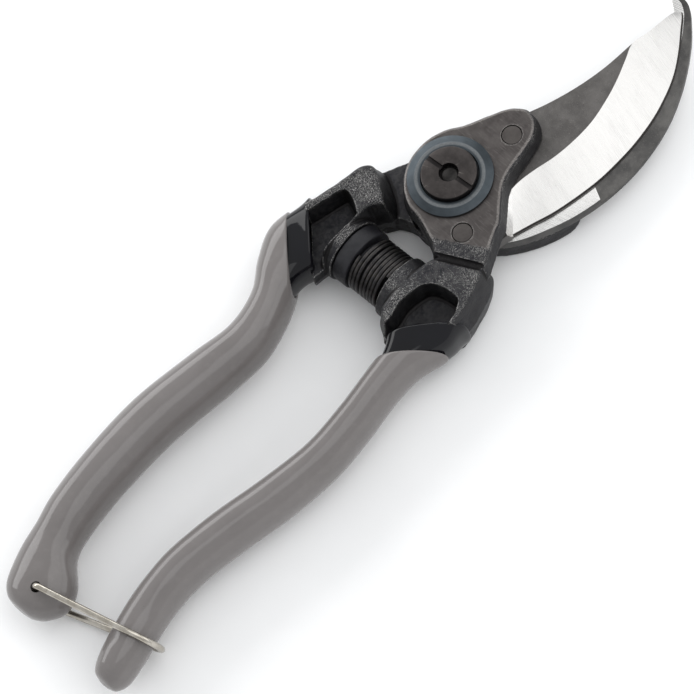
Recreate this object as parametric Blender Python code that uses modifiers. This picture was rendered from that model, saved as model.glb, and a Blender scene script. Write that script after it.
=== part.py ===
"""Forged bypass pruning shears, closed and latched, as an assembly of separate pieces.

The origin is on the pivot's axis, at the flat underside of the pivot bolt's head.
+X points to the blade tips and the handles run to -X. Handle A, with the hook and
the latch, lies to +Y. Handle B, with the cutting blade, lies to -Y. +Z is up through
the pivot. Lengths are in millimetres and become metres when a mesh is made.
"""

import math

import bmesh
import bpy
from mathutils import Matrix, Vector

MM = 0.001

# Clearance between pieces that touch or turn on each other
GAP = 0.3

# The stack of plates on the pivot, from the bottom up
PLATE_A_THICKNESS = 4.5
HOOK_THICKNESS = 3.2
BLADE_THICKNESS = 3.2
PLATE_B_THICKNESS = 5.0

PLATE_A_LOW = 0.0
PLATE_A_TOP = PLATE_A_LOW + PLATE_A_THICKNESS
HOOK_LOW = PLATE_A_TOP + GAP
HOOK_TOP = HOOK_LOW + HOOK_THICKNESS
BLADE_LOW = HOOK_TOP + GAP
BLADE_TOP = BLADE_LOW + BLADE_THICKNESS
PLATE_B_LOW = BLADE_TOP + GAP
PLATE_B_TOP = PLATE_B_LOW + PLATE_B_THICKNESS
EDGE_LAND = 0.4

# The forged blocks where each plate turns into its handle
BLOCK_HEIGHT = 15.9
MIDDLE = (PLATE_A_LOW + PLATE_B_TOP) / 2 - 0.25
BLOCK_LOW = MIDDLE - BLOCK_HEIGHT / 2
BLOCK_TOP = MIDDLE + BLOCK_HEIGHT / 2
DRAFT = 1.6
EDGE_ROUND = 0.8
POCKET_DEPTH = 5.9
GROOVE_WIDTH = 1.2
GROOVE_DEPTH = 0.8

# The pivot
SHAFT_RADIUS = 4.0
BUSH_WALL = 0.7
BOLT_HEAD_RADIUS = SHAFT_RADIUS + 2.0
BOLT_HEAD_THICKNESS = 1.5
THREAD_RADIUS = 2.0
WASHER_RADIUS = 10.0
WASHER_RING_RADIUS = 8.1
WASHER_THICKNESS = 1.0
WASHER_RIM = 0.35
WASHER_SEAT = 0.4
NUT_RADIUS = 6.5
NUT_THICKNESS = 1.7
SLOT_WIDTH = 1.0
SLOT_DEPTH = 0.7
SLOT_ANGLE = math.radians(-87)
PLATE_BORE = SHAFT_RADIUS + GAP
TURNING_BORE = SHAFT_RADIUS + 2 * GAP + BUSH_WALL
LOBE_RADIUS = 11.5

# The rivets
RIVET_RADIUS = 2.3
RIVET_INSET = 0.1
BLADE_RIVETS = ((16.3, -4.0), (-8.4, -11.3))
HOOK_RIVETS = ((10.5, -19.0), (1.0, -13.4))

# The return spring and what holds it. Its axis runs along Y.
SPRING_X = -25.4
SPRING_RADIUS = 7.05
SPRING_WIRE = 1.0
SPRING_PITCH = 1.15
SEAT_A = 9.0
SEAT_B = -5.2
COLLAR_RADIUS = SPRING_RADIUS + 0.4
BOSS_RADIUS = COLLAR_RADIUS + 0.45
PEG_RADIUS = 4.5
PEG_A_LENGTH = 7.5
PEG_B_LENGTH = 3.2
COLLAR_LENGTH = 3.85
SLEEVE_LENGTH = 5.6

# The coats on the handles
GRIP_WALL = 1.0
UNDERCOAT_WALL = 0.9
GRIP_OUT = 0.0
UNDERCOAT_OUT = GRIP_WALL + GAP
TANG_OUT = UNDERCOAT_OUT + UNDERCOAT_WALL + GAP
HANDLE_HALF_HEIGHT = 7.0
HANDLE_END_HALF_HEIGHT = 6.2
SECTION_POWER = 2.5
SECTION_SIDES = 12

# The slanting mouths of the coats: x - y on handle A and x + y on handle B
UNDERCOAT_MOUTH_A = -46.7
GRIP_MOUTH_A = -54.4
UNDERCOAT_MOUTH_B = -48.6
GRIP_MOUTH_B = -56.5

# The latch, a closed loop of wire that turns in a hole through the end of handle A
LATCH_HOLE = (-130.4, 7.9)
LATCH_HOLE_RADIUS = 1.25
LATCH_WIRE = 1.5
LATCH_FAR_END = (-122.2, -21.7)
LATCH_TWIST = 0.9

# Handle outlines: along the handle, its low and high side, and its half height
HANDLE_A = (
    (-23.0, 12.6, 25.4, HANDLE_HALF_HEIGHT),
    (-33.0, 12.6, 27.8, HANDLE_HALF_HEIGHT),
    (-41.0, 11.9, 24.6, HANDLE_HALF_HEIGHT),
    (-48.0, 9.3, 20.0, HANDLE_HALF_HEIGHT),
    (-57.0, 7.3, 18.4, HANDLE_HALF_HEIGHT),
    (-68.0, 8.1, 20.7, HANDLE_HALF_HEIGHT),
    (-84.0, 10.4, 23.4, HANDLE_HALF_HEIGHT),
    (-100.0, 10.9, 23.4, HANDLE_HALF_HEIGHT),
    (-112.0, 10.0, 22.2, HANDLE_HALF_HEIGHT),
    (-119.0, 8.0, 20.6, HANDLE_END_HALF_HEIGHT),
    (-124.5, 2.6, 19.6, HANDLE_END_HALF_HEIGHT),
    (-129.5, 0.9, 18.0, HANDLE_END_HALF_HEIGHT),
    (-133.6, 2.9, 16.1, HANDLE_END_HALF_HEIGHT * 0.86),
    (-135.7, 5.6, 13.8, HANDLE_END_HALF_HEIGHT * 0.58),
    (-136.4, 8.2, 11.2, HANDLE_END_HALF_HEIGHT * 0.22),
)
HANDLE_B = (
    (-23.0, -25.4, -13.0, HANDLE_HALF_HEIGHT),
    (-30.0, -26.0, -13.0, HANDLE_HALF_HEIGHT),
    (-38.0, -23.4, -13.2, HANDLE_HALF_HEIGHT),
    (-46.0, -23.1, -14.1, HANDLE_HALF_HEIGHT),
    (-56.0, -24.2, -15.1, HANDLE_HALF_HEIGHT),
    (-67.0, -24.7, -15.3, HANDLE_HALF_HEIGHT),
    (-80.0, -23.2, -12.9, HANDLE_HALF_HEIGHT),
    (-92.0, -20.5, -10.0, HANDLE_HALF_HEIGHT),
    (-104.0, -18.2, -8.2, HANDLE_HALF_HEIGHT),
    (-112.0, -18.0, -8.3, HANDLE_HALF_HEIGHT),
    (-119.0, -19.1, -9.0, HANDLE_END_HALF_HEIGHT),
    (-127.0, -20.9, -10.9, HANDLE_END_HALF_HEIGHT),
    (-132.5, -21.7, -12.6, HANDLE_END_HALF_HEIGHT * 0.9),
    (-135.5, -20.8, -14.2, HANDLE_END_HALF_HEIGHT * 0.6),
    (-136.6, -19.2, -16.4, HANDLE_END_HALF_HEIGHT * 0.22),
)

# Plan outlines, counterclockwise
PLATE_A_OUTLINE = (
    (12.2, 0.0), (9.5, 7.8), (3.5, 11.8), (-3.5, 11.8), (-9.0, 8.4), (-12.1, 2.5),
    (-11.8, -3.5), (-9.2, -8.5), (-3.4, -15.6), (1.7, -19.8), (6.8, -22.6),
    (11.5, -24.0), (15.0, -23.0), (16.0, -20.0), (13.8, -9.0),
)
NECK_OUTLINE = (
    (0.5, 12.0), (0.5, 13.3), (-2.1, 14.5), (-5.4, 16.3), (-9.5, 18.4), (-16.0, 16.0),
    (-16.2, 5.2), (-14.9, 4.4), (-12.9, 3.0), (-12.0, 2.0), (-11.2, 4.4),
    (-8.5, 8.5), (-4.2, 11.3),
)
BLOCK_A_OUTLINE = (
    (-7.2, 16.2), (-9.4, 20.0), (-16.0, 21.7), (-22.0, 23.4),
    (-30.0, 26.2), (-40.0, 26.0), (-42.0, 13.0), (-36.0, 10.4),
    (-26.0, 9.4), (-17.6, 9.0), (-14.0, 6.6), (-10.2, 10.2),
)
POCKET_A_OUTLINE = (
    (-17.2, 18.0), (-21.4, 19.6), (-25.5, 20.8), (-31.0, 22.8), (-46.0, 22.8),
    (-46.0, 6.0), (-34.0, 6.0), (-31.4, 11.2), (-20.6, 11.2), (-19.0, 12.0), (-17.2, 15.3),
)
PLATE_B_OUTLINE = (
    (24.0, -2.8), (22.9, -0.2), (20.3, 2.5), (12.4, 6.8), (8.4, 9.8), (4.2, 11.4),
    (0.0, 11.7), (-5.0, 10.6), (-9.2, 7.6), (-11.9, 3.4), (-12.8, -0.9), (-15.2, -7.0),
    (-17.6, -10.0), (-20.5, -15.0), (-17.0, -22.0), (-12.6, -21.9), (-7.8, -19.8),
    (-3.2, -17.8), (-0.7, -16.8), (2.7, -14.1), (6.6, -11.3), (10.7, -10.1),
    (15.3, -9.6), (19.7, -8.6), (22.8, -6.2),
)
BLOCK_B_OUTLINE = (
    (-14.8, -9.6), (-19.5, -7.3), (-27.0, -6.6), (-34.0, -7.4), (-38.0, -12.0),
    (-45.0, -14.0), (-45.0, -25.0), (-33.0, -26.0), (-24.0, -25.4),
    (-15.5, -23.6), (-10.4, -20.6), (-11.8, -15.0),
)
POCKET_B_OUTLINE = (
    (-20.4, -20.5), (-20.7, -16.0), (-22.2, -13.0), (-24.7, -11.7), (-29.2, -11.0),
    (-35.0, -11.6), (-38.0, -8.0), (-50.0, -8.0), (-50.0, -23.4), (-27.0, -23.2), (-22.4, -22.2),
)
GROOVE_ENDS = ((-18.4, -5.6), (-11.0, -22.4))
HOOK_OUTLINE = (
    (LOBE_RADIUS, 0.0), (8.1, 8.1), (0.0, LOBE_RADIUS), (-8.1, 8.1), (-LOBE_RADIUS, 0.0),
    (-9.9, -6.0), (-6.8, -10.8), (-3.9, -15.2), (0.5, -19.3), (7.1, -22.9),
    (13.2, -25.4), (20.6, -27.2), (28.5, -27.9), (36.3, -27.4), (44.0, -25.7),
    (52.0, -22.4), (60.0, -17.6), (65.2, -13.2), (67.7, -10.4), (68.3, -8.0),
    (67.3, -6.3), (66.1, -6.8), (63.8, -9.4), (58.5, -13.6), (50.0, -18.2),
    (41.0, -20.8), (32.0, -21.3), (23.0, -19.6), (16.0, -15.5), (12.6, -9.0),
)
# Blade outline, each point low on the blade and then on its top face, so that the
# stretch along the cutting edge slopes back as the ground bevel
BLADE_OUTLINE = (
    (-11.3, 0.0, -11.3, 0.0), (-12.2, -4.5, -12.2, -4.5), (-14.0, -8.6, -14.0, -8.6),
    (-12.4, -13.2, -12.4, -13.2), (-10.2, -17.2, -10.2, -17.2), (-5.0, -17.0, -5.0, -17.0),
    (-1.0, -16.9, -1.0, -16.7), (1.5, -17.9, 2.0, -15.6), (5.0, -19.6, 9.0, -10.8),
    (9.5, -21.3, 14.0, -11.6), (15.0, -22.8, 19.5, -13.1), (21.5, -24.1, 25.0, -13.9),
    (27.8, -24.7, 31.0, -14.0), (34.0, -24.7, 36.5, -13.1), (41.0, -23.9, 42.0, -11.8),
    (47.5, -22.2, 47.0, -10.3), (54.2, -19.2, 52.5, -9.6), (60.0, -15.3, 57.5, -10.2),
    (64.4, -12.0, 61.8, -10.6), (64.1, -10.6, 62.2, -10.2), (61.0, -9.6, 60.3, -9.8),
    (55.5, -9.0, 55.3, -9.2), (51.5, -8.3, 51.5, -8.4), (43.5, -7.4, 43.5, -7.4),
    (36.4, -5.8, 36.4, -5.8), (29.4, -3.4, 29.4, -3.4), (23.9, -0.9, 23.9, -0.9),
    (17.0, 2.6, 17.0, 2.6), (12.0, 5.4, 12.0, 5.4), (7.0, 8.6, 7.0, 8.6),
    (2.0, 10.4, 2.0, 10.4), (-3.0, 10.2, -3.0, 10.2), (-7.8, 7.4, -7.8, 7.4),
    (-10.4, 3.4, -10.4, 3.4),
)

STEEL = ((0.045, 0.043, 0.042), 0.5, 0.9)
DARK_STEEL = ((0.06, 0.055, 0.052), 0.4, 1.0)
GROUND_STEEL = ((0.75, 0.74, 0.72), 0.3, 1.0)
BLUED_STEEL = ((0.05, 0.065, 0.08), 0.35, 1.0)
SPRING_STEEL = ((0.03, 0.028, 0.027), 0.35, 0.9)
NICKEL = ((0.6, 0.57, 0.52), 0.3, 1.0)
BLACK_VINYL = ((0.012, 0.012, 0.014), 0.15, 0.0)
GREY_VINYL = ((0.21, 0.195, 0.19), 0.2, 0.0)
BLACK_NYLON = ((0.02, 0.02, 0.023), 0.45, 0.0)


def clear_scene():
    for obj in list(bpy.data.objects):
        bpy.data.objects.remove(obj, do_unlink=True)


def new_collection(name):
    collection = bpy.data.collections.new(name)
    bpy.context.scene.collection.children.link(collection)
    return collection


def paint(obj, finish):
    """Gives the piece a material of its own."""
    color, roughness, metallic = finish
    material = bpy.data.materials.new(obj.name)
    material.use_nodes = True
    shader = material.node_tree.nodes["Principled BSDF"]
    shader.inputs["Base Color"].default_value = (*color, 1.0)
    shader.inputs["Roughness"].default_value = roughness
    shader.inputs["Metallic"].default_value = metallic
    obj.data.materials.clear()
    obj.data.materials.append(material)


def smooth_line(points, steps, closed):
    """A Catmull-Rom curve through points of any dimension, with steps to each span."""
    count = len(points)
    spans = count if closed else count - 1
    line = []
    for i in range(spans):
        if closed:
            four = [points[(i + k) % count] for k in (-1, 0, 1, 2)]
        else:
            four = [points[min(max(i + k, 0), count - 1)] for k in (-1, 0, 1, 2)]
        for step in range(steps):
            t = step / steps
            weights = (
                (-t + 2 * t * t - t**3) / 2,
                (2 - 5 * t * t + 3 * t**3) / 2,
                (t + 4 * t * t - 3 * t**3) / 2,
                (-t * t + t**3) / 2,
            )
            line.append(tuple(sum(w * c for w, c in zip(weights, axis)) for axis in zip(*four)))
    if not closed:
        line.append(tuple(points[-1]))
    return line


def inset(outline, distance):
    """Moves each point of a counterclockwise outline inwards along its own normal."""
    moved = []
    for i, (x, y) in enumerate(outline):
        before = Vector(outline[i - 1])
        after = Vector(outline[(i + 1) % len(outline)])
        along = (after - before).normalized()
        moved.append((x - along.y * distance, y + along.x * distance))
    return moved


def object_of(name, bm, collection):
    bmesh.ops.recalc_face_normals(bm, faces=bm.faces)
    mesh = bpy.data.meshes.new(name)
    bm.to_mesh(mesh)
    bm.free()
    obj = bpy.data.objects.new(name, mesh)
    collection.objects.link(obj)
    return obj


def loft(name, rings, collection):
    """A closed body through rings of points in millimetres, capped at both ends."""
    bm = bmesh.new()
    rows = [[bm.verts.new(Vector(point) * MM) for point in ring] for ring in rings]
    count = len(rows[0])
    for low, high in zip(rows, rows[1:]):
        for i in range(count):
            j = (i + 1) % count
            bm.faces.new((low[i], low[j], high[j], high[i]))
    bm.faces.new(rows[0])
    bm.faces.new(rows[-1])
    return object_of(name, bm, collection)


def drafted(name, outline, levels, collection):
    """A forged body whose outline is inset by its own amount at each height."""
    rings = [[(x, y, z) for x, y in inset(outline, amount)] for z, amount in levels]
    return loft(name, rings, collection)


def plate(name, outline, low, high, collection):
    """A flat plate of even thickness from a plan outline."""
    curve = bpy.data.curves.new(name, "CURVE")
    curve.dimensions = "2D"
    curve.fill_mode = "BOTH"
    curve.extrude = (high - low) / 2 * MM
    spline = curve.splines.new("POLY")
    spline.points.add(len(outline) - 1)
    for point, (x, y) in zip(spline.points, outline):
        point.co = (x * MM, y * MM, 0.0, 1.0)
    spline.use_cyclic_u = True
    guide = bpy.data.objects.new(name + "_curve", curve)
    guide.location.z = (low + high) / 2 * MM
    return mesh_from(guide, name, collection)


def mesh_from(guide, name, collection):
    """Turns a curve object into a welded mesh in the same place and removes the curve."""
    collection.objects.link(guide)
    bpy.context.view_layer.update()
    evaluated = guide.evaluated_get(bpy.context.evaluated_depsgraph_get())
    mesh = bpy.data.meshes.new_from_object(evaluated)
    matrix = guide.matrix_world.copy()
    bpy.data.objects.remove(guide, do_unlink=True)
    bm = bmesh.new()
    bm.from_mesh(mesh)
    bmesh.ops.remove_doubles(bm, verts=bm.verts, dist=1e-6)
    bpy.data.meshes.remove(mesh)
    obj = object_of(name, bm, collection)
    obj.matrix_world = matrix
    return obj


def wire(name, points, radius, cyclic, collection):
    """A round wire through points in millimetres."""
    curve = bpy.data.curves.new(name, "CURVE")
    curve.dimensions = "3D"
    curve.bevel_depth = radius * MM
    curve.bevel_resolution = 1
    curve.use_fill_caps = not cyclic
    spline = curve.splines.new("POLY")
    spline.points.add(len(points) - 1)
    for point, place in zip(spline.points, points):
        point.co = (*(c * MM for c in place), 1.0)
    spline.use_cyclic_u = cyclic
    return mesh_from(bpy.data.objects.new(name + "_curve", curve), name, collection)


def turned(name, profile, collection, closed=False, steps=32):
    """A turned piece about Z: its profile (radius, height) runs down its outer side."""
    mesh = bpy.data.meshes.new(name)
    points = [(r * MM, 0.0, z * MM) for r, z in profile]
    edges = [(i, i + 1) for i in range(len(points) - 1)]
    if closed:
        edges.append((len(points) - 1, 0))
    mesh.from_pydata(points, edges, [])
    obj = bpy.data.objects.new(name, mesh)
    collection.objects.link(obj)
    screw = obj.modifiers.new("Turn", "SCREW")
    screw.steps = steps
    screw.render_steps = steps
    screw.use_merge_vertices = True
    screw.merge_threshold = 0.00001
    return obj


def cylinder(name, radius, low, high, place, collection, steps=24):
    """A plain round bar about Z, standing at a point in plan."""
    bar = turned(name, ((0, high), (radius, high), (radius, low), (0, low)), collection, steps=steps)
    bar.location = (place[0] * MM, place[1] * MM, 0)
    return bar


def box(name, size, place, angle, collection):
    """A block of a size in millimetres, turned about Z."""
    bm = bmesh.new()
    bmesh.ops.create_cube(bm, size=1.0, matrix=Matrix.Diagonal(Vector(size) * MM).to_4x4())
    obj = object_of(name, bm, collection)
    obj.location = Vector(place) * MM
    obj.rotation_euler.z = angle
    return obj


def half_space(name, normal, offset, keep_side, middle, collection):
    """A block that fills one side of the upright plane normal . (x, y) = offset."""
    reach = 120.0
    unit = Vector(normal).normalized()
    distance = offset / Vector(normal).length
    centre = unit * (distance + keep_side * reach / 2)
    along = Vector((-unit.y, unit.x))
    centre += along * along.dot(Vector(middle))
    size = (reach, reach, reach)
    place = (centre.x, centre.y, MIDDLE)
    return box(name, size, place, math.atan2(unit.y, unit.x), collection)


def join(obj, other, operation, cutters):
    """Adds or cuts another body with a Boolean, and moves that body out of sight."""
    modifier = obj.modifiers.new(other.name, "BOOLEAN")
    modifier.operation = operation
    modifier.object = other
    modifier.solver = "EXACT"
    for collection in list(other.users_collection):
        collection.objects.unlink(other)
    cutters.objects.link(other)
    other.hide_render = True
    other.display_type = "WIRE"


def handle_rings(rows, amount, lead=0.0):
    """Superellipse sections along a handle, each shrunk by an amount on all sides."""
    rings = []
    for x, low, high, half_height in smooth_line(rows, 2, False):
        half_width = (high - low) / 2 - amount
        half_height -= amount
        if min(half_width, half_height) < 0.5:
            continue
        ring = []
        for i in range(SECTION_SIDES):
            angle = 2 * math.pi * i / SECTION_SIDES
            across = math.copysign(abs(math.cos(angle)) ** (2 / SECTION_POWER), math.cos(angle))
            up = math.copysign(abs(math.sin(angle)) ** (2 / SECTION_POWER), math.sin(angle))
            ring.append((x, (low + high) / 2 + half_width * across, MIDDLE + half_height * up))
        rings.append(ring)
    if lead:
        rings.insert(0, [(x + lead, y, z) for x, y, z in rings[0]])
    return rings


def coat(name, rows, outer, wall, normal, mouth, finish, parts, cutters):
    """One dipped coat: a shell round the handle, open at its slanting mouth."""
    shell = loft(name, handle_rings(rows, outer), parts)
    core = loft(name + "_core", handle_rings(rows, outer + wall, lead=2.0), parts)
    join(shell, core, "DIFFERENCE", cutters)
    middle = ((rows[0][0] + rows[2][0]) / 2, (rows[1][1] + rows[1][2]) / 2)
    cut = half_space(name + "_mouth", normal, mouth, 1, middle, parts)
    join(shell, cut, "DIFFERENCE", cutters)
    paint(shell, finish)
    return shell


def block(name, outline, pocket, normal, mouth, seat, inward, parts, cutters):
    """The forged block between a plate and its handle, with a pocket on both faces."""
    levels = (
        (BLOCK_LOW, DRAFT + EDGE_ROUND),
        (BLOCK_LOW + EDGE_ROUND, DRAFT),
        (MIDDLE, 0.0),
        (BLOCK_TOP - EDGE_ROUND, DRAFT),
        (BLOCK_TOP, DRAFT + EDGE_ROUND),
    )
    body = drafted(name + "_block", smooth_line(outline, 2, True), levels, parts)
    for side, face in (("top", 1), ("under", -1)):
        outside = MIDDLE + face * (BLOCK_HEIGHT / 2 + 1)
        floor = MIDDLE + face * (BLOCK_HEIGHT / 2 - POCKET_DEPTH)
        line = smooth_line(pocket, 2, True)
        levels = sorted(((outside, 0.0), (floor, 1.0)))
        recess = drafted(f"{name}_pocket_{side}", line, levels, parts)
        join(body, recess, "DIFFERENCE", cutters)
    boss = across_bar(f"{name}_boss", BOSS_RADIUS, seat, seat + inward * 2.0, parts)
    join(body, boss, "UNION", cutters)
    middle = (outline[0][0] * 2, (outline[0][1] + outline[-4][1]) / 2)
    cut = half_space(f"{name}_end", normal, mouth + GAP * 1.5, -1, middle, parts)
    join(body, cut, "DIFFERENCE", cutters)
    return body


def across_bar(name, radius, start, stop, collection, steps=24):
    """A round bar along Y on the spring's axis."""
    low, high = sorted((start, stop))
    bar = turned(name, ((0, high), (radius, high), (radius, low), (0, low)), collection, steps=steps)
    lay_on_spring_axis(bar)
    return bar


def lay_on_spring_axis(obj):
    """Turns a piece that was made about Z so that its axis runs along the spring's."""
    obj.rotation_euler = (-math.pi / 2, 0, 0)
    obj.location = (SPRING_X * MM, 0, MIDDLE * MM)


def tang(name, rows, normal, mouth, parts, cutters):
    """The steel core of a handle, from inside its block to its end."""
    core = loft(name + "_tang", handle_rings(rows, TANG_OUT), parts)
    middle = (rows[1][0], (rows[1][1] + rows[1][2]) / 2)
    cut = half_space(name + "_tang_start", normal, mouth + 2.0, 1, middle, parts)
    join(core, cut, "DIFFERENCE", cutters)
    return core


def handle_a(parts, cutters):
    """The lower forging: plate, neck, block, spring peg and core of the handle."""
    normal = (1.0, -1.0)
    forging = plate("handle_a_forging", smooth_line(PLATE_A_OUTLINE, 2, True),
                    PLATE_A_LOW, PLATE_A_TOP, parts)
    bore = cylinder("a_bore", PLATE_BORE, -1, HOOK_LOW, (0, 0), parts)
    join(forging, bore, "DIFFERENCE", cutters)
    recess = cylinder("a_head_recess", BOLT_HEAD_RADIUS + GAP, -1,
                      BOLT_HEAD_THICKNESS + GAP, (0, 0), parts)
    join(forging, recess, "DIFFERENCE", cutters)
    for i, place in enumerate(HOOK_RIVETS, 1):
        hole = cylinder(f"a_rivet_hole_{i}", RIVET_RADIUS + GAP, -1, HOOK_LOW, place, parts)
        join(forging, hole, "DIFFERENCE", cutters)
    neck = plate("neck", NECK_OUTLINE, BLOCK_LOW + EDGE_ROUND / 2, HOOK_TOP, parts)
    join(forging, neck, "UNION", cutters)
    body = block("a", BLOCK_A_OUTLINE, POCKET_A_OUTLINE, normal, UNDERCOAT_MOUTH_A,
                 SEAT_A, 1, parts, cutters)
    join(forging, body, "UNION", cutters)
    core = tang("a", HANDLE_A, normal, UNDERCOAT_MOUTH_A, parts, cutters)
    join(core, latch_hole("a_latch_hole", GAP, parts), "DIFFERENCE", cutters)
    join(forging, core, "UNION", cutters)
    peg = across_bar("a_peg", PEG_RADIUS, SEAT_A + 1.0, SEAT_A - PEG_A_LENGTH, parts)
    join(forging, peg, "UNION", cutters)
    paint(forging, STEEL)
    return forging


def latch_hole(name, extra, parts):
    """The bar that opens the latch's hole, wider by an extra amount in the inner layers."""
    return cylinder(name, LATCH_HOLE_RADIUS + extra, -2, PLATE_B_TOP + 2, LATCH_HOLE, parts, steps=16)


def coats_a(parts, cutters):
    normal = (1.0, -1.0)
    under = coat("handle_a_undercoat", HANDLE_A, UNDERCOAT_OUT, UNDERCOAT_WALL, normal,
                 UNDERCOAT_MOUTH_A, BLACK_VINYL, parts, cutters)
    grip = coat("handle_a_grip", HANDLE_A, GRIP_OUT, GRIP_WALL, normal,
                GRIP_MOUTH_A, GREY_VINYL, parts, cutters)
    join(under, latch_hole("undercoat_latch_hole", 0.0, parts), "DIFFERENCE", cutters)
    join(grip, latch_hole("grip_latch_hole", 0.0, parts), "DIFFERENCE", cutters)


def handle_b(parts, cutters):
    """The upper forging: plate, block, spring peg and core of the handle."""
    normal = (1.0, 1.0)
    levels = (
        (PLATE_B_LOW, 0.0),
        (PLATE_B_TOP - 0.5, 0.9),
        (PLATE_B_TOP, 1.4),
    )
    forging = drafted("handle_b_forging", smooth_line(PLATE_B_OUTLINE, 2, True), levels, parts)
    body = block("b", BLOCK_B_OUTLINE, POCKET_B_OUTLINE, normal, UNDERCOAT_MOUTH_B,
                 SEAT_B, -1, parts, cutters)
    join(forging, body, "UNION", cutters)
    core = tang("b", HANDLE_B, normal, UNDERCOAT_MOUTH_B, parts, cutters)
    join(forging, core, "UNION", cutters)
    peg = across_bar("b_peg", PEG_RADIUS, SEAT_B - 1.0, SEAT_B + PEG_B_LENGTH, parts)
    join(forging, peg, "UNION", cutters)
    start, stop = Vector(GROOVE_ENDS[0]), Vector(GROOVE_ENDS[1])
    run = stop - start
    middle = (start + stop) / 2
    groove = box("b_groove", (run.length, GROOVE_WIDTH, 2 * GROOVE_DEPTH),
                 (middle.x, middle.y, BLOCK_TOP), math.atan2(run.y, run.x), parts)
    join(forging, groove, "DIFFERENCE", cutters)
    bore = cylinder("b_bore", TURNING_BORE, BLADE_LOW, PLATE_B_TOP + 1, (0, 0), parts)
    join(forging, bore, "DIFFERENCE", cutters)
    for i, place in enumerate(BLADE_RIVETS, 1):
        hole = cylinder(f"b_rivet_hole_{i}", RIVET_RADIUS + GAP, BLADE_TOP, PLATE_B_TOP + 1, place, parts)
        join(forging, hole, "DIFFERENCE", cutters)
    paint(forging, STEEL)
    return forging


def coats_b(parts, cutters):
    normal = (1.0, 1.0)
    under = coat("handle_b_undercoat", HANDLE_B, UNDERCOAT_OUT, UNDERCOAT_WALL, normal,
                 UNDERCOAT_MOUTH_B, BLACK_VINYL, parts, cutters)
    grip = coat("handle_b_grip", HANDLE_B, GRIP_OUT, GRIP_WALL, normal,
                GRIP_MOUTH_B, GREY_VINYL, parts, cutters)
    return under, grip


def hook_blade(parts, cutters):
    """The fixed counter-blade, riveted to handle A's plate."""
    hook = plate("hook_blade", smooth_line(HOOK_OUTLINE, 2, True), HOOK_LOW, HOOK_TOP, parts)
    bore = cylinder("hook_bore", PLATE_BORE, PLATE_A_TOP, BLADE_LOW, (0, 0), parts)
    join(hook, bore, "DIFFERENCE", cutters)
    for i, place in enumerate(HOOK_RIVETS, 1):
        hole = cylinder(f"hook_hole_{i}", RIVET_RADIUS + GAP, PLATE_A_TOP, BLADE_LOW, place, parts)
        join(hook, hole, "DIFFERENCE", cutters)
        low, high = PLATE_A_LOW + RIVET_INSET, HOOK_TOP - RIVET_INSET
        rivet = cylinder(f"hook_rivet_{i}", RIVET_RADIUS, low, high, place, parts)
        paint(rivet, DARK_STEEL)
    paint(hook, DARK_STEEL)


def cutting_blade(parts, cutters):
    """The moving blade with its wide ground bevel, riveted under handle B's plate."""
    pairs = smooth_line(BLADE_OUTLINE, 2, True)
    rings = [
        [(x, y, BLADE_LOW) for x, y, _, _ in pairs],
        [(x, y, BLADE_LOW + EDGE_LAND) for x, y, _, _ in pairs],
        [(x, y, BLADE_TOP) for _, _, x, y in pairs],
    ]
    blade = loft("cutting_blade", rings, parts)
    bore = cylinder("blade_bore", TURNING_BORE, HOOK_TOP, PLATE_B_LOW, (0, 0), parts)
    join(blade, bore, "DIFFERENCE", cutters)
    rivets = []
    for i, place in enumerate(BLADE_RIVETS, 1):
        hole = cylinder(f"blade_hole_{i}", RIVET_RADIUS + GAP, HOOK_TOP, PLATE_B_LOW, place, parts)
        join(blade, hole, "DIFFERENCE", cutters)
        rivet = cylinder(f"blade_rivet_{i}", RIVET_RADIUS, BLADE_LOW + RIVET_INSET,
                         PLATE_B_TOP - RIVET_INSET, place, parts)
        paint(rivet, DARK_STEEL)
        rivets.append(rivet)
    paint(blade, GROUND_STEEL)
    return blade, *rivets


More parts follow.
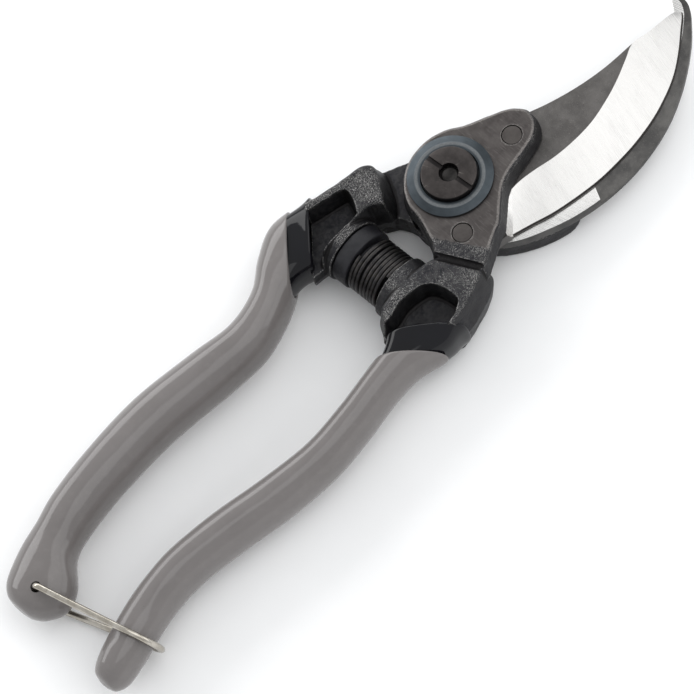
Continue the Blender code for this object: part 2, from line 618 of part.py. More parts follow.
def pivot(parts, cutters):
    """Bolt, bush, bevelled washer and slotted round nut, all on the pivot's axis."""
    washer_low = PLATE_B_TOP + GAP
    washer_top = washer_low + WASHER_THICKNESS
    seat = washer_low + WASHER_SEAT
    nut_low = seat + GAP
    nut_top = nut_low + NUT_THICKNESS
    bolt = turned("pivot_bolt", (
        (0, nut_top - 0.8),
        (THREAD_RADIUS, nut_top - 0.8),
        (THREAD_RADIUS, seat - 0.1),
        (SHAFT_RADIUS, seat - 0.1),
        (SHAFT_RADIUS, BOLT_HEAD_THICKNESS),
        (BOLT_HEAD_RADIUS, BOLT_HEAD_THICKNESS),
        (BOLT_HEAD_RADIUS, 0),
        (0, 0),
    ), parts)
    paint(bolt, DARK_STEEL)
    bush_out = SHAFT_RADIUS + GAP + BUSH_WALL
    bush = turned("pivot_bush", (
        (bush_out, PLATE_B_TOP - GAP), (bush_out, BLADE_LOW + GAP),
        (SHAFT_RADIUS + GAP, BLADE_LOW + GAP), (SHAFT_RADIUS + GAP, PLATE_B_TOP - GAP),
    ), parts, closed=True)
    paint(bush, DARK_STEEL)
    washer = turned("pivot_washer", (
        (SHAFT_RADIUS + GAP, seat),
        (NUT_RADIUS + GAP, seat),
        (NUT_RADIUS + GAP + 0.1, washer_top),
        (WASHER_RING_RADIUS, washer_top),
        (WASHER_RADIUS, washer_low + WASHER_RIM),
        (WASHER_RADIUS, washer_low),
        (SHAFT_RADIUS + GAP, washer_low),
    ), parts, closed=True, steps=40)
    paint(washer, BLUED_STEEL)
    nut = turned("pivot_nut", (
        (THREAD_RADIUS + GAP, nut_top),
        (NUT_RADIUS - 0.3, nut_top),
        (NUT_RADIUS, nut_top - 0.3),
        (NUT_RADIUS, nut_low),
        (THREAD_RADIUS + GAP, nut_low),
    ), parts, closed=True)
    slot = box("nut_slot", (3 * NUT_RADIUS, SLOT_WIDTH, 2 * SLOT_DEPTH),
               (0, 0, nut_top), SLOT_ANGLE, parts)
    join(nut, slot, "DIFFERENCE", cutters)
    paint(nut, DARK_STEEL)


def spring(parts):
    """The coil between the two blocks, the collar that seats it and its inner sleeve."""
    collar_high = SEAT_A - GAP
    collar_low = collar_high - COLLAR_LENGTH
    bore = PEG_RADIUS + GAP
    collar = turned("spring_collar", (
        (COLLAR_RADIUS, collar_high), (COLLAR_RADIUS, collar_low),
        (bore, collar_low), (bore, collar_high),
    ), parts, closed=True)
    lay_on_spring_axis(collar)
    paint(collar, BLACK_NYLON)
    sleeve_out = SPRING_RADIUS - SPRING_WIRE - GAP
    sleeve_high = collar_low - GAP
    sleeve = turned("spring_sleeve", (
        (sleeve_out, sleeve_high), (sleeve_out, sleeve_high - SLEEVE_LENGTH),
        (bore, sleeve_high - SLEEVE_LENGTH), (bore, sleeve_high),
    ), parts, closed=True)
    lay_on_spring_axis(sleeve)
    paint(sleeve, BLACK_NYLON)
    start = collar_low - GAP - SPRING_WIRE / 2
    stop = SEAT_B + GAP + SPRING_WIRE / 2
    turns = (start - stop) / SPRING_PITCH
    around = SPRING_RADIUS - SPRING_WIRE / 2
    steps = math.ceil(turns * 14)
    points = []
    for i in range(steps + 1):
        angle = 2 * math.pi * turns * i / steps
        points.append((SPRING_X + around * math.cos(angle),
                       start + (stop - start) * i / steps,
                       MIDDLE + around * math.sin(angle)))
    coil = wire("return_spring", points, SPRING_WIRE / 2, False, parts)
    paint(coil, SPRING_STEEL)


def latch_wire(parts):
    """The latch loop, drawn about its own hinge: out over handle B, round it and back under."""
    radius = LATCH_WIRE / 2
    top = HANDLE_END_HALF_HEIGHT + GAP + radius
    end = Vector(LATCH_FAR_END) - Vector(LATCH_HOLE)
    reach = end.length
    out = end.normalized()
    side = Vector((-out.y, out.x))
    bend = 1.3
    points = []
    for i in range(5):
        angle = math.pi / 2 * i / 4
        points.append((bend * (1 - math.cos(angle)), top - bend * (1 - math.sin(angle)), 0.0))
    for i in range(13):
        angle = math.pi / 2 - math.pi * i / 12
        points.append((reach - top + top * math.cos(angle), top * math.sin(angle), -math.sin(angle)))
    for i in range(5):
        angle = math.pi / 2 * (1 - i / 4)
        points.append((bend * (1 - math.cos(angle)), -top + bend * (1 - math.sin(angle)), 0.0))
    loop = []
    for along, up, lean in points:
        place = out * along + side * (LATCH_TWIST * lean)
        loop.append((place.x, place.y, up))
    obj = wire("latch_wire", loop, radius, True, parts)
    paint(obj, NICKEL)
    return obj


def hinge(name, place, children, parts):
    """An empty on a joint's axis that carries the pieces that turn about it."""
    empty = bpy.data.objects.new(name, None)
    empty.location = Vector(place) * MM
    parts.objects.link(empty)
    for child in children:
        child.parent = empty


def main():
    clear_scene()
    parts = new_collection("pruning_shears")
    cutters = new_collection("cutters")
    cutters.hide_render = True
    handle_a(parts, cutters)
    coats_a(parts, cutters)
    hook_blade(parts, cutters)
    pivot(parts, cutters)
    spring(parts)
    forging = handle_b(parts, cutters)
    moving = [forging, *coats_b(parts, cutters), *cutting_blade(parts, cutters)]
    hinge("handle_pivot", (0, 0, 0), moving, parts)
    hinge("latch_pivot", (*LATCH_HOLE, MIDDLE), [latch_wire(parts)], parts)
    for obj in parts.objects:
        if obj.type == "MESH":
            obj.data.shade_smooth()
            obj.data.set_sharp_from_angle(angle=math.radians(35))


main()
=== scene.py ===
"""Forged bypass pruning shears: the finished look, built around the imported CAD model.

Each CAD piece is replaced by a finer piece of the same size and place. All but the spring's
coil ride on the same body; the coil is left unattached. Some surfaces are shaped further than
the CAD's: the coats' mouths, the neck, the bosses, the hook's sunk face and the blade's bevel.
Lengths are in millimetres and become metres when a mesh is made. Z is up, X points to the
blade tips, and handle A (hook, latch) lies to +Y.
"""

from math import atan2, ceil, copysign, cos, pi, radians, sin, sqrt

import bmesh
import bpy
import numpy as np
from mathutils import Matrix, Vector, noise


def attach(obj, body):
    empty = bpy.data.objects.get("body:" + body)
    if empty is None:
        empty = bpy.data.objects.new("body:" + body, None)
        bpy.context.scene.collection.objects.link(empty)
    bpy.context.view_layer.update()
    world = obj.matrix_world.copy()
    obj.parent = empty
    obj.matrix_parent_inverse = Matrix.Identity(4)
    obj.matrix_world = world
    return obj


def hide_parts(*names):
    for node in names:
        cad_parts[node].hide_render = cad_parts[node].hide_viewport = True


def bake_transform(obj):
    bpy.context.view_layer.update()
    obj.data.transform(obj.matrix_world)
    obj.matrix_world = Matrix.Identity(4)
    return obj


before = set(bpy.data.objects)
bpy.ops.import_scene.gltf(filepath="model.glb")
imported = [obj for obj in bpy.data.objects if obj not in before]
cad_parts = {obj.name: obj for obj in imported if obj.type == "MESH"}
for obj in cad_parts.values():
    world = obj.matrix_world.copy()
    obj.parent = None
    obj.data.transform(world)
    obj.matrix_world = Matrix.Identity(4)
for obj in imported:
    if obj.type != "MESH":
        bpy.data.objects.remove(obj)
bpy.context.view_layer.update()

MM = 0.001

# Heights of the stack on the pivot
PLATE_A_TOP = 4.5
HOOK_LOW, HOOK_TOP = 4.8, 8.0
BLADE_LOW, BLADE_TOP = 8.3, 11.5
PLATE_B_LOW, PLATE_B_TOP = 11.8, 16.8
MIDDLE = 8.15
BLOCK_LOW, BLOCK_TOP = 0.2, 16.1
POCKET_DEPTH = 5.9
DRAFT = 1.6

# The pivot, from the plate up
WASHER_LOW, WASHER_TOP = 17.1, 18.1
WASHER_RADIUS = 10.0
NUT_LOW, NUT_TOP = 17.8, 19.5
NUT_RADIUS = 6.5
SLOT_ANGLE = radians(-87)
SLOT_WIDTH = 1.05
SHAFT_RADIUS = 4.0
BOLT_HEAD_RADIUS, BOLT_HEAD_TOP = 6.0, 1.5
BUSH_LOW, BUSH_TOP = 8.6, 16.5
BUSH_BORE, BUSH_RADIUS = 4.3, 5.0

BLADE_RIVETS = ((16.3, -4.0), (-8.4, -11.3))
HOOK_RIVETS = ((10.5, -19.0), (1.0, -13.4))
RIVET_RADIUS = 2.3
RIVET_ROOM = 0.15

SPRING_X = -25.4
SPRING_RADIUS = 7.05
SPRING_WIRE = 1.0
COLLAR_HIGH, COLLAR_LOW = 8.7, 4.85
COLLAR_RADIUS = 7.45
SLEEVE_HIGH, SLEEVE_LOW = 4.55, -1.05
SLEEVE_RADIUS = 5.75
SEAT_BORE = 4.8
BOSS_RADIUS = 7.9
PEG_RADIUS = 4.5
# Depth of the wire after each turn: closed at the collar, a gap, then nearly even
COIL_DEPTHS = (4.05, 3.04, 2.03, 0.62, -0.44, -1.5, -2.42, -3.46, -4.4)

LATCH_HOLE = (-130.4, 7.9)
LATCH_HOLE_RADIUS = 1.25
LATCH_WIRE_RADIUS = 0.75
LATCH_FAR_END = (-122.2, -21.7)
LATCH_HALF_HEIGHT = 7.25
LATCH_BEND = 1.3
LATCH_LEAN = 0.9

SECTION_SIDES = 72
VOXEL = 0.2
TARGET = Vector((-43.5401, -5.6581, 8.0)) * MM

# Handle outlines: along the handle, its low and high side, and its half height
HANDLE_A = (
    (-23.0, 12.6, 25.4, 7.0), (-33.0, 12.6, 27.8, 7.0), (-41.0, 11.9, 24.6, 7.0),
    (-48.0, 9.3, 20.0, 7.0), (-57.0, 7.3, 18.4, 7.0), (-68.0, 8.1, 20.7, 7.0),
    (-84.0, 10.4, 23.4, 7.0), (-100.0, 10.9, 23.4, 7.0), (-112.0, 10.0, 22.2, 7.0),
    (-119.0, 8.0, 20.6, 6.2), (-124.5, 2.6, 19.6, 6.2), (-129.5, 0.9, 18.0, 6.2),
    (-133.6, 2.9, 16.1, 5.33), (-135.7, 5.6, 13.8, 3.6), (-136.3, 8.0, 11.4, 1.36),
    (-136.4, 9.6, 9.8, 0.1),
)
HANDLE_B = (
    (-23.0, -25.4, -13.0, 7.0), (-30.0, -26.0, -13.0, 7.0), (-38.0, -23.4, -13.2, 7.0),
    (-46.0, -23.1, -14.1, 7.0), (-56.0, -24.2, -15.1, 7.0), (-67.0, -24.7, -15.3, 7.0),
    (-80.0, -23.2, -12.9, 7.0), (-92.0, -20.5, -10.0, 7.0), (-104.0, -18.2, -8.2, 7.0),
    (-112.0, -18.0, -8.3, 7.0), (-119.0, -19.1, -9.0, 6.2), (-127.0, -20.9, -10.9, 6.2),
    (-132.5, -21.7, -12.6, 5.58), (-135.5, -20.8, -14.2, 3.72), (-136.4, -19.2, -16.2, 1.36),
    (-136.6, -17.8, -17.6, 0.1),
)
# Near its mouth each black coat follows the steel block
UNDERCOAT_A = ((-19.0, 12.2, 22.4, 7.0), (-25.0, 12.5, 24.8, 7.0), *HANDLE_A[1:8])
UNDERCOAT_B = ((-19.0, -24.4, -12.4, 7.0), (-25.0, -25.0, -12.7, 7.0), *HANDLE_B[1:8])
UNDERCOAT_MOUTH_A, GRIP_MOUTH_A = -46.7, -54.4
UNDERCOAT_MOUTH_B, GRIP_MOUTH_B = -48.6, -56.5
GRIP_WALL = 1.0
UNDERCOAT_OUT = 1.3
UNDERCOAT_WALL = 0.9

PLATE_A_OUTLINE = (
    (12.2, 0.0), (9.5, 7.8), (3.5, 11.8), (-3.5, 11.8), (-9.0, 8.4), (-12.1, 2.5),
    (-11.8, -3.5), (-9.2, -8.5), (-3.4, -15.6), (1.7, -19.8), (6.8, -22.6),
    (11.5, -24.0), (15.0, -23.0), (16.0, -20.0), (13.8, -9.0),
)
NECK_OUTLINE = (
    (0.5, 12.0), (0.5, 13.3), (-2.1, 14.5), (-5.4, 16.3), (-9.5, 18.4), (-16.0, 16.0),
    (-16.0, 9.4), (-13.6, 7.6), (-12.4, 5.0), (-11.9, 2.6), (-11.2, 4.4),
    (-8.5, 8.5), (-4.2, 11.3),
)
BLOCK_A_OUTLINE = (
    (-7.2, 16.2), (-9.4, 20.0), (-16.0, 21.7), (-22.0, 23.4), (-30.0, 26.2), (-40.0, 26.0),
    (-42.0, 13.0), (-36.0, 10.4), (-26.0, 9.4), (-17.6, 9.0), (-14.0, 6.6), (-10.2, 10.2),
)
POCKET_A_OUTLINE = (
    (-17.2, 18.0), (-21.4, 19.6), (-25.5, 20.8), (-31.0, 22.8), (-46.0, 22.8), (-46.0, 6.0),
    (-34.0, 6.0), (-31.4, 11.2), (-20.6, 11.2), (-19.0, 12.0), (-17.2, 15.3),
)
PLATE_B_OUTLINE = (
    (24.0, -2.8), (22.9, -0.2), (20.3, 2.5), (12.4, 6.8), (8.4, 9.8), (4.2, 11.4),
    (0.0, 11.7), (-5.0, 10.6), (-9.2, 7.6), (-11.9, 3.4), (-12.8, -0.9), (-15.2, -7.0),
    (-16.6, -9.4), (-15.4, -14.0), (-12.6, -20.6), (-11.4, -21.4), (-7.8, -19.8),
    (-3.2, -17.8), (-0.7, -16.8), (2.7, -14.1), (6.6, -11.3), (10.7, -10.1),
    (15.3, -9.6), (19.7, -8.6), (22.8, -6.2),
)
BLOCK_B_OUTLINE = (
    (-14.8, -9.6), (-19.5, -7.3), (-27.0, -6.6), (-34.0, -7.4), (-38.0, -12.0),
    (-45.0, -14.0), (-45.0, -25.0), (-33.0, -26.0), (-24.0, -25.4), (-15.5, -23.6),
    (-10.4, -20.6), (-11.8, -15.0),
)
POCKET_B_OUTLINE = (
    (-20.4, -20.5), (-20.7, -16.0), (-22.2, -13.0), (-24.7, -11.7), (-29.2, -11.0),
    (-35.0, -11.6), (-38.0, -8.0), (-50.0, -8.0), (-50.0, -23.4), (-27.0, -23.2), (-22.4, -22.2),
)
GROOVE_ENDS = ((-19.4, -3.4), (-10.6, -23.2))
HOOK_OUTLINE = (
    (11.5, 0.0), (8.1, 8.1), (0.0, 11.5), (-8.1, 8.1), (-11.5, 0.0), (-9.9, -6.0),
    (-6.8, -10.8), (-3.9, -15.2), (0.5, -19.3), (7.1, -22.9), (13.2, -25.4), (20.6, -27.2),
    (28.5, -27.9), (36.3, -27.4), (44.0, -25.7), (52.0, -22.4), (60.0, -17.6), (65.2, -13.2),
    (67.7, -10.4), (68.3, -8.0), (67.3, -6.3), (66.1, -6.8), (63.8, -9.4), (58.5, -13.6),
    (50.0, -18.2), (41.0, -20.8), (32.0, -21.3), (23.0, -19.6), (16.0, -15.5), (12.6, -9.0),
)
# Beyond its polished land the hook's top face is sunk and slopes down outwards. This is the
# line it starts from.
HOOK_SINK = (
    (20.6, -23.6), (27.6, -24.1), (34.0, -24.1), (41.0, -23.3), (47.6, -21.6),
    (54.4, -18.6), (60.2, -15.0), (64.4, -12.0), (66.1, -10.2), (67.0, -8.4), (67.2, -5.4),
)
HOOK_SINK_START = (-0.46, -0.89)
# The bevel of the cutting blade: its edge, and where it meets the blade's flat or spine
BEVEL = (
    ((-0.2, -17.6, 8.65), (7.6, -10.7, 11.5)), ((4.6, -19.4, 8.65), (10.6, -10.9, 11.5)),
    ((9.5, -21.3, 8.65), (14.4, -11.7, 11.5)), ((15.0, -22.8, 8.65), (19.5, -13.1, 11.5)),
    ((21.5, -24.1, 8.65), (25.2, -13.9, 11.5)), ((27.8, -24.6, 8.65), (31.0, -14.0, 11.5)),
    ((34.0, -24.6, 8.65), (36.8, -13.1, 11.5)), ((41.0, -23.8, 8.65), (42.2, -11.7, 11.5)),
    ((47.5, -22.1, 8.65), (47.4, -9.8, 11.5)), ((52.4, -20.1, 8.65), (51.5, -8.3, 11.45)),
    ((57.2, -17.2, 8.65), (55.6, -9.0, 10.9)), ((61.3, -14.2, 8.65), (59.8, -9.35, 10.2)),
    ((63.9, -12.3, 8.62), (62.8, -9.6, 9.6)), ((65.0, -11.2, 8.6), (64.6, -10.1, 9.0)),
)
PLUNGE = ((-1.5, -17.6), (-0.6, -16.0), (2.5, -13.4), (6.4, -10.4))
BLADE_BACK = (
    (43.5, -7.4), (36.4, -5.8), (29.4, -3.4), (23.9, -0.9), (17.0, 2.6), (12.0, 5.4),
    (7.0, 8.6), (2.0, 10.4), (-3.0, 10.2), (-7.8, 7.4), (-10.4, 3.4), (-11.3, 0.0),
    (-12.2, -4.5), (-14.0, -8.6), (-12.4, -13.2), (-10.2, -17.2), (-5.0, -17.0),
)


# --- Meshes ---


def smooth_line(points, steps, closed=False):
    """A Catmull-Rom curve through points of any dimension, with steps to each span."""
    count = len(points)
    spans = count if closed else count - 1
    line = []
    for i in range(spans):
        if closed:
            four = [points[(i + k) % count] for k in (-1, 0, 1, 2)]
        else:
            four = [points[min(max(i + k, 0), count - 1)] for k in (-1, 0, 1, 2)]
        for step in range(steps):
            t = step / steps
            weights = (
                (-t + 2 * t * t - t**3) / 2,
                (2 - 5 * t * t + 3 * t**3) / 2,
                (t + 4 * t * t - 3 * t**3) / 2,
                (-t * t + t**3) / 2,
            )
            line.append(tuple(sum(w * c for w, c in zip(weights, axis)) for axis in zip(*four)))
    if not closed:
        line.append(tuple(points[-1]))
    return line


def inset(outline, distance):
    """Moves a counterclockwise outline inwards, and bridges corners tighter than the move."""
    points = np.array(outline, float)
    if abs(distance) < 1e-6:
        return [tuple(p) for p in points]
    following = np.roll(points, -1, 0)
    along = following - np.roll(points, 1, 0)
    along /= np.linalg.norm(along, axis=1)[:, None]
    moved = points + np.stack((-along[:, 1], along[:, 0]), 1) * distance
    edge = following - points
    reach = moved[:, None] - points[None]
    share = (reach * edge[None]).sum(2) / (edge * edge).sum(1)[None]
    foot = points[None] + np.clip(share, 0, 1)[:, :, None] * edge[None]
    near = np.linalg.norm(moved[:, None] - foot, axis=2).min(1)
    good = np.flatnonzero(near > abs(distance) * 0.97)
    places = np.arange(len(points))
    columns = [np.interp(places, good, moved[good, k], period=len(points)) for k in (0, 1)]
    return list(zip(*columns))


def placed(name, data):
    obj = bpy.data.objects.new(name, data)
    bpy.context.scene.collection.objects.link(obj)
    return obj


def piece_from(name, bm):
    bmesh.ops.remove_doubles(bm, verts=bm.verts, dist=1e-7)
    bmesh.ops.recalc_face_normals(bm, faces=bm.faces)
    mesh = bpy.data.meshes.new(name)
    bm.to_mesh(mesh)
    bm.free()
    return placed(name, mesh)


def loft(name, rings, caps=True, cyclic=False):
    """A skin through rings of points, capped at both ends unless it closes on itself."""
    bm = bmesh.new()
    rows = [[bm.verts.new(Vector(p) * MM) for p in ring] for ring in rings]
    count = len(rows[0])
    pairs = list(zip(rows, rows[1:]))
    if cyclic:
        pairs.append((rows[-1], rows[0]))
    for low, high in pairs:
        for i in range(count):
            j = (i + 1) % count
            bm.faces.new((low[i], low[j], high[j], high[i]))
    if caps and not cyclic:
        bm.faces.new(rows[0])
        bm.faces.new(rows[-1])
    return piece_from(name, bm)


def drafted(name, outline, levels):
    """A body whose outline is inset by its own amount at each height."""
    return loft(name, [[(x, y, z) for x, y in inset(outline, d)] for z, d in levels])


def circle(sides):
    return [2 * pi * i / sides for i in range(sides)]


def lathe(name, profile, sides=96, place=(0, 0), cyclic=False):
    """A turned piece about an upright axis through a place in plan."""
    x, y = place
    rings = [
        [(x + radius * cos(a), y + radius * sin(a), height) for a in circle(sides)]
        for radius, height in profile
    ]
    return loft(name, rings, cyclic=cyclic)


def lay_on_spring_axis(obj):
    """Turns a piece made about Z so that its axis runs along Y through the spring."""
    turn = Matrix.Rotation(-pi / 2, 4, "X")
    obj.data.transform(Matrix.Translation((SPRING_X * MM, 0, MIDDLE * MM)) @ turn)
    return obj


def tube(name, path, radius, sides=18, cyclic=False):
    """A round wire along a path, with frames carried along it so that it doesn't twist."""
    points = [Vector(p) for p in path]
    count = len(points)
    rings = []
    side = None
    for i, point in enumerate(points):
        if cyclic:
            along = points[(i + 1) % count] - points[i - 1]
        else:
            along = points[min(i + 1, count - 1)] - points[max(i - 1, 0)]
        along.normalize()
        if side is None:
            side = along.orthogonal().normalized()
        side = (side - along * side.dot(along)).normalized()
        other = along.cross(side)
        rings.append([point + (side * cos(a) + other * sin(a)) * radius for a in circle(sides)])
    if cyclic:
        shift = closing_shift(rings[0], rings[-1])
        rings.append(rings[0][shift:] + rings[0][:shift])
        return loft(name, rings, caps=False)
    return loft(name, rings)


def closing_shift(first, last):
    """How far to turn the first ring so that it lines up with the last."""
    lengths = [
        sum((last[k] - first[(k + s) % len(first)]).length for k in range(0, len(first), 3))
        for s in range(len(first))
    ]
    return lengths.index(min(lengths))


def baked(obj):
    """Applies the object's modifiers to its mesh."""
    bpy.context.view_layer.update()
    graph = bpy.context.evaluated_depsgraph_get()
    old = obj.data
    obj.data = bpy.data.meshes.new_from_object(obj.evaluated_get(graph))
    obj.modifiers.clear()
    bpy.data.meshes.remove(old)
    return obj


def cut(obj, other):
    """Cuts another closed body out of this one and removes it."""
    modifier = obj.modifiers.new("cut", "BOOLEAN")
    modifier.operation = "DIFFERENCE"
    modifier.object = other
    modifier.solver = "EXACT"
    baked(obj)
    bpy.data.objects.remove(other, do_unlink=True)
    return obj


def bevelled(obj, width, segments=3, angle=35):
    """Rounds the sharp edges of a piece."""
    bevel = obj.modifiers.new("round", "BEVEL")
    bevel.width = width * MM
    bevel.segments = segments
    bevel.limit_method = "ANGLE"
    bevel.angle_limit = radians(angle)
    return baked(obj)


def fused(name, bodies, smoothing):
    """One forged skin round several overlapping bodies, with its edges softened."""
    bm = bmesh.new()
    for body in bodies:
        bm.from_mesh(body.data)
        bpy.data.objects.remove(body, do_unlink=True)
    mesh = bpy.data.meshes.new(name)
    bm.to_mesh(mesh)
    bm.free()
    obj = placed(name, mesh)
    remesh = obj.modifiers.new("skin", "REMESH")
    remesh.mode = "VOXEL"
    remesh.voxel_size = VOXEL * MM
    smooth = obj.modifiers.new("soften", "SMOOTH")
    smooth.factor = 0.5
    smooth.iterations = smoothing
    return baked(obj)


def vectors(mesh, name):
    """The mesh's vertex positions ("co") or normals ("normal"), one to a row."""
    values = np.zeros(len(mesh.vertices) * 3)
    mesh.vertices.foreach_get(name, values)
    return values.reshape(-1, 3)


def move_to(mesh, co):
    mesh.vertices.foreach_set("co", co.ravel())
    mesh.update()


def spread(values, edges, counts):
    """Averages a value over each vertex's neighbours, three times."""
    for _ in range(3):
        total = np.bincount(edges[:, 0], values[edges[:, 1]], len(values))
        total += np.bincount(edges[:, 1], values[edges[:, 0]], len(values))
        values = 0.5 * values + 0.5 * total / counts
    return values


def mark_edges(obj):
    """Stores how sharply the surface bends at each vertex: above 0 outwards, below 0 inwards."""
    mesh = obj.data
    co = vectors(mesh, "co")
    normals = vectors(mesh, "normal")
    edges = np.zeros(len(mesh.edges) * 2, np.int64)
    mesh.edges.foreach_get("vertices", edges)
    edges = edges.reshape(-1, 2)
    counts = np.maximum(np.bincount(edges.ravel(), minlength=len(co)), 1)
    step = co[edges[:, 0]] - co[edges[:, 1]]
    length = np.linalg.norm(step, axis=1) + 1e-12
    lean = step / length[:, None] ** 2 * MM
    bend = np.bincount(edges[:, 0], (lean * normals[edges[:, 0]]).sum(1), len(co))
    bend -= np.bincount(edges[:, 1], (lean * normals[edges[:, 1]]).sum(1), len(co))
    bend = spread(bend / counts, edges, counts)
    column = mesh.attributes.new("bend", "FLOAT", "POINT")
    column.data.foreach_set("value", np.asarray(bend, np.float32))


def uneven(obj, height, size, keep=None):
    """Moves the skin in and out a little, as forging leaves it. keep(height) scales it."""
    co = vectors(obj.data, "co")
    scale = 1.0 if keep is None else keep(co[:, 2] / MM)
    lift = np.array([noise.noise(Vector(p) / (size * MM)) for p in co])
    co += vectors(obj.data, "normal") * (lift * scale * height * MM)[:, None]
    move_to(obj.data, co)


def finish(obj, body, node, material, angle=40):
    """Shades a finished piece, puts it on its body and hides the CAD node it stands for."""
    obj.data.shade_smooth()
    obj.data.set_sharp_from_angle(angle=radians(angle))
    if material is not None:
        obj.data.materials.clear()
        obj.data.materials.append(material)
    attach(obj, body)
    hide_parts(node)
    return obj


# --- Materials ---


class Look:
    """A Principled material and the nodes that feed it. Its lengths are in millimetres."""

    def __init__(self, name, color, roughness, metallic, **sockets):
        self.material = bpy.data.materials.new(name)
        self.material.use_nodes = True
        self.tree = self.material.node_tree
        self.shader = self.tree.nodes["Principled BSDF"]
        self.shader.inputs["Base Color"].default_value = (*color, 1.0)
        self.shader.inputs["Roughness"].default_value = roughness
        self.shader.inputs["Metallic"].default_value = metallic
        for socket, value in sockets.items():
            self.shader.inputs[socket.replace("_", " ")].default_value = value
        place = self.add("TexCoord").outputs["Object"]
        self.place = self.vector("MULTIPLY", place, (1 / MM,) * 3).outputs[0]

    def add(self, kind, values=None, **settings):
        """Adds a shader node. A value is a number, a colour or another node's output."""
        node = self.tree.nodes.new("ShaderNode" + kind)
        for name, value in settings.items():
            setattr(node, name, value)
        for name, value in (values or {}).items():
            if isinstance(value, bpy.types.NodeSocket):
                self.tree.links.new(value, node.inputs[name])
            else:
                node.inputs[name].default_value = value
        return node

    def vector(self, operation, first, second=(0, 0, 0)):
        return self.add("VectorMath", {0: first, 1: second}, operation=operation)

    def calc(self, operation, first, second=0.0):
        return self.add("Math", {0: first, 1: second}, operation=operation).outputs[0]

    def grain(self, scale, detail=3.0, rough=0.6, stretch=None, turn=0.0, place=None):
        """Noise with so many cells to a millimetre. stretch scales it per axis after a turn."""
        place = place or self.place
        if stretch is not None:
            turned = self.add("Mapping", {"Vector": place, "Rotation": (0, 0, turn)})
            place = self.vector("MULTIPLY", turned.outputs[0], stretch).outputs[0]
        values = {"Vector": place, "Scale": scale, "Detail": detail, "Roughness": rough}
        return self.add("TexNoise", values).outputs["Fac"]

    def ramp(self, value, low, high, to_low=0.0, to_high=1.0):
        """Maps low..high smoothly to to_low..to_high and holds it there beyond."""
        values = {"Value": value, "From Min": low, "From Max": high}
        values.update({"To Min": to_low, "To Max": to_high})
        return self.add("MapRange", values, interpolation_type="SMOOTHSTEP").outputs["Result"]

    def mixed(self, share, first, second):
        """A colour between two, by a share."""
        node = self.add("Mix", {0: share}, data_type="RGBA")
        for index, color in ((6, first), (7, second)):
            if isinstance(color, bpy.types.NodeSocket):
                self.tree.links.new(color, node.inputs[index])
            else:
                node.inputs[index].default_value = (*color, 1.0)
        return node.outputs[2]

    def mixed_number(self, share, first, second):
        return self.add("Mix", {0: share, 2: first, 3: second}, data_type="FLOAT").outputs[0]

    def mixed_relief(self, share, first, second):
        return self.add("Mix", {0: share, 4: first, 5: second}, data_type="VECTOR").outputs[1]

    def layer(self, value, low, high, below, above, most=1.0):
        """One colour laid over another where a value rises from low to high."""
        return self.mixed(self.ramp(value, low, high, 0.0, most), below, above)

    def bump(self, height, distance, below=None):
        """Relief of a height in millimetres, on top of another relief."""
        values = {"Height": height, "Distance": distance * MM, "Strength": 1.0}
        if below is not None:
            values["Normal"] = below
        return self.add("Bump", values).outputs["Normal"]

    def height(self):
        return self.add("SeparateXYZ", {0: self.place}).outputs["Z"]

    def bend(self):
        return self.add("Attribute", attribute_name="bend").outputs["Fac"]

    def done(self, tone, rough=None, relief=None):
        """Connects the surface's colour, roughness and relief."""
        for socket, value in (("Base Color", tone), ("Roughness", rough), ("Normal", relief)):
            if value is not None:
                self.tree.links.new(value, self.shader.inputs[socket])
        return self.material


def shaded(color, share):
    return tuple(c * share for c in color)


def vinyl(name, color, dark, roughness, flow, ior=1.46):
    """Dipped vinyl: slow shading and flow waves, a fine skin and a few dust specks."""
    look = Look(name, color, roughness, 0.0, IOR=ior)
    slow = look.grain(0.05, 2.0)
    mottle = look.grain(0.5, 4.0)
    specks = look.grain(2.4, 1.0)
    tone = look.layer(slow, 0.3, 0.7, dark, color)
    tone = look.layer(mottle, 0.45, 0.75, tone, shaded(color, 1.12), 0.35)
    tone = look.layer(specks, 0.8, 0.84, tone, shaded(color, 0.4), 0.6)
    wave = look.bump(look.grain(0.11, 1.0), flow)
    skin = look.bump(look.grain(1.6, 2.0), flow * 0.02, wave)
    pits = look.bump(look.ramp(specks, 0.8, 0.86), -0.02, skin)
    scuff = look.ramp(mottle, 0.35, 0.8, roughness * 0.85, roughness * 1.35)
    return look.done(tone, scuff, pits)


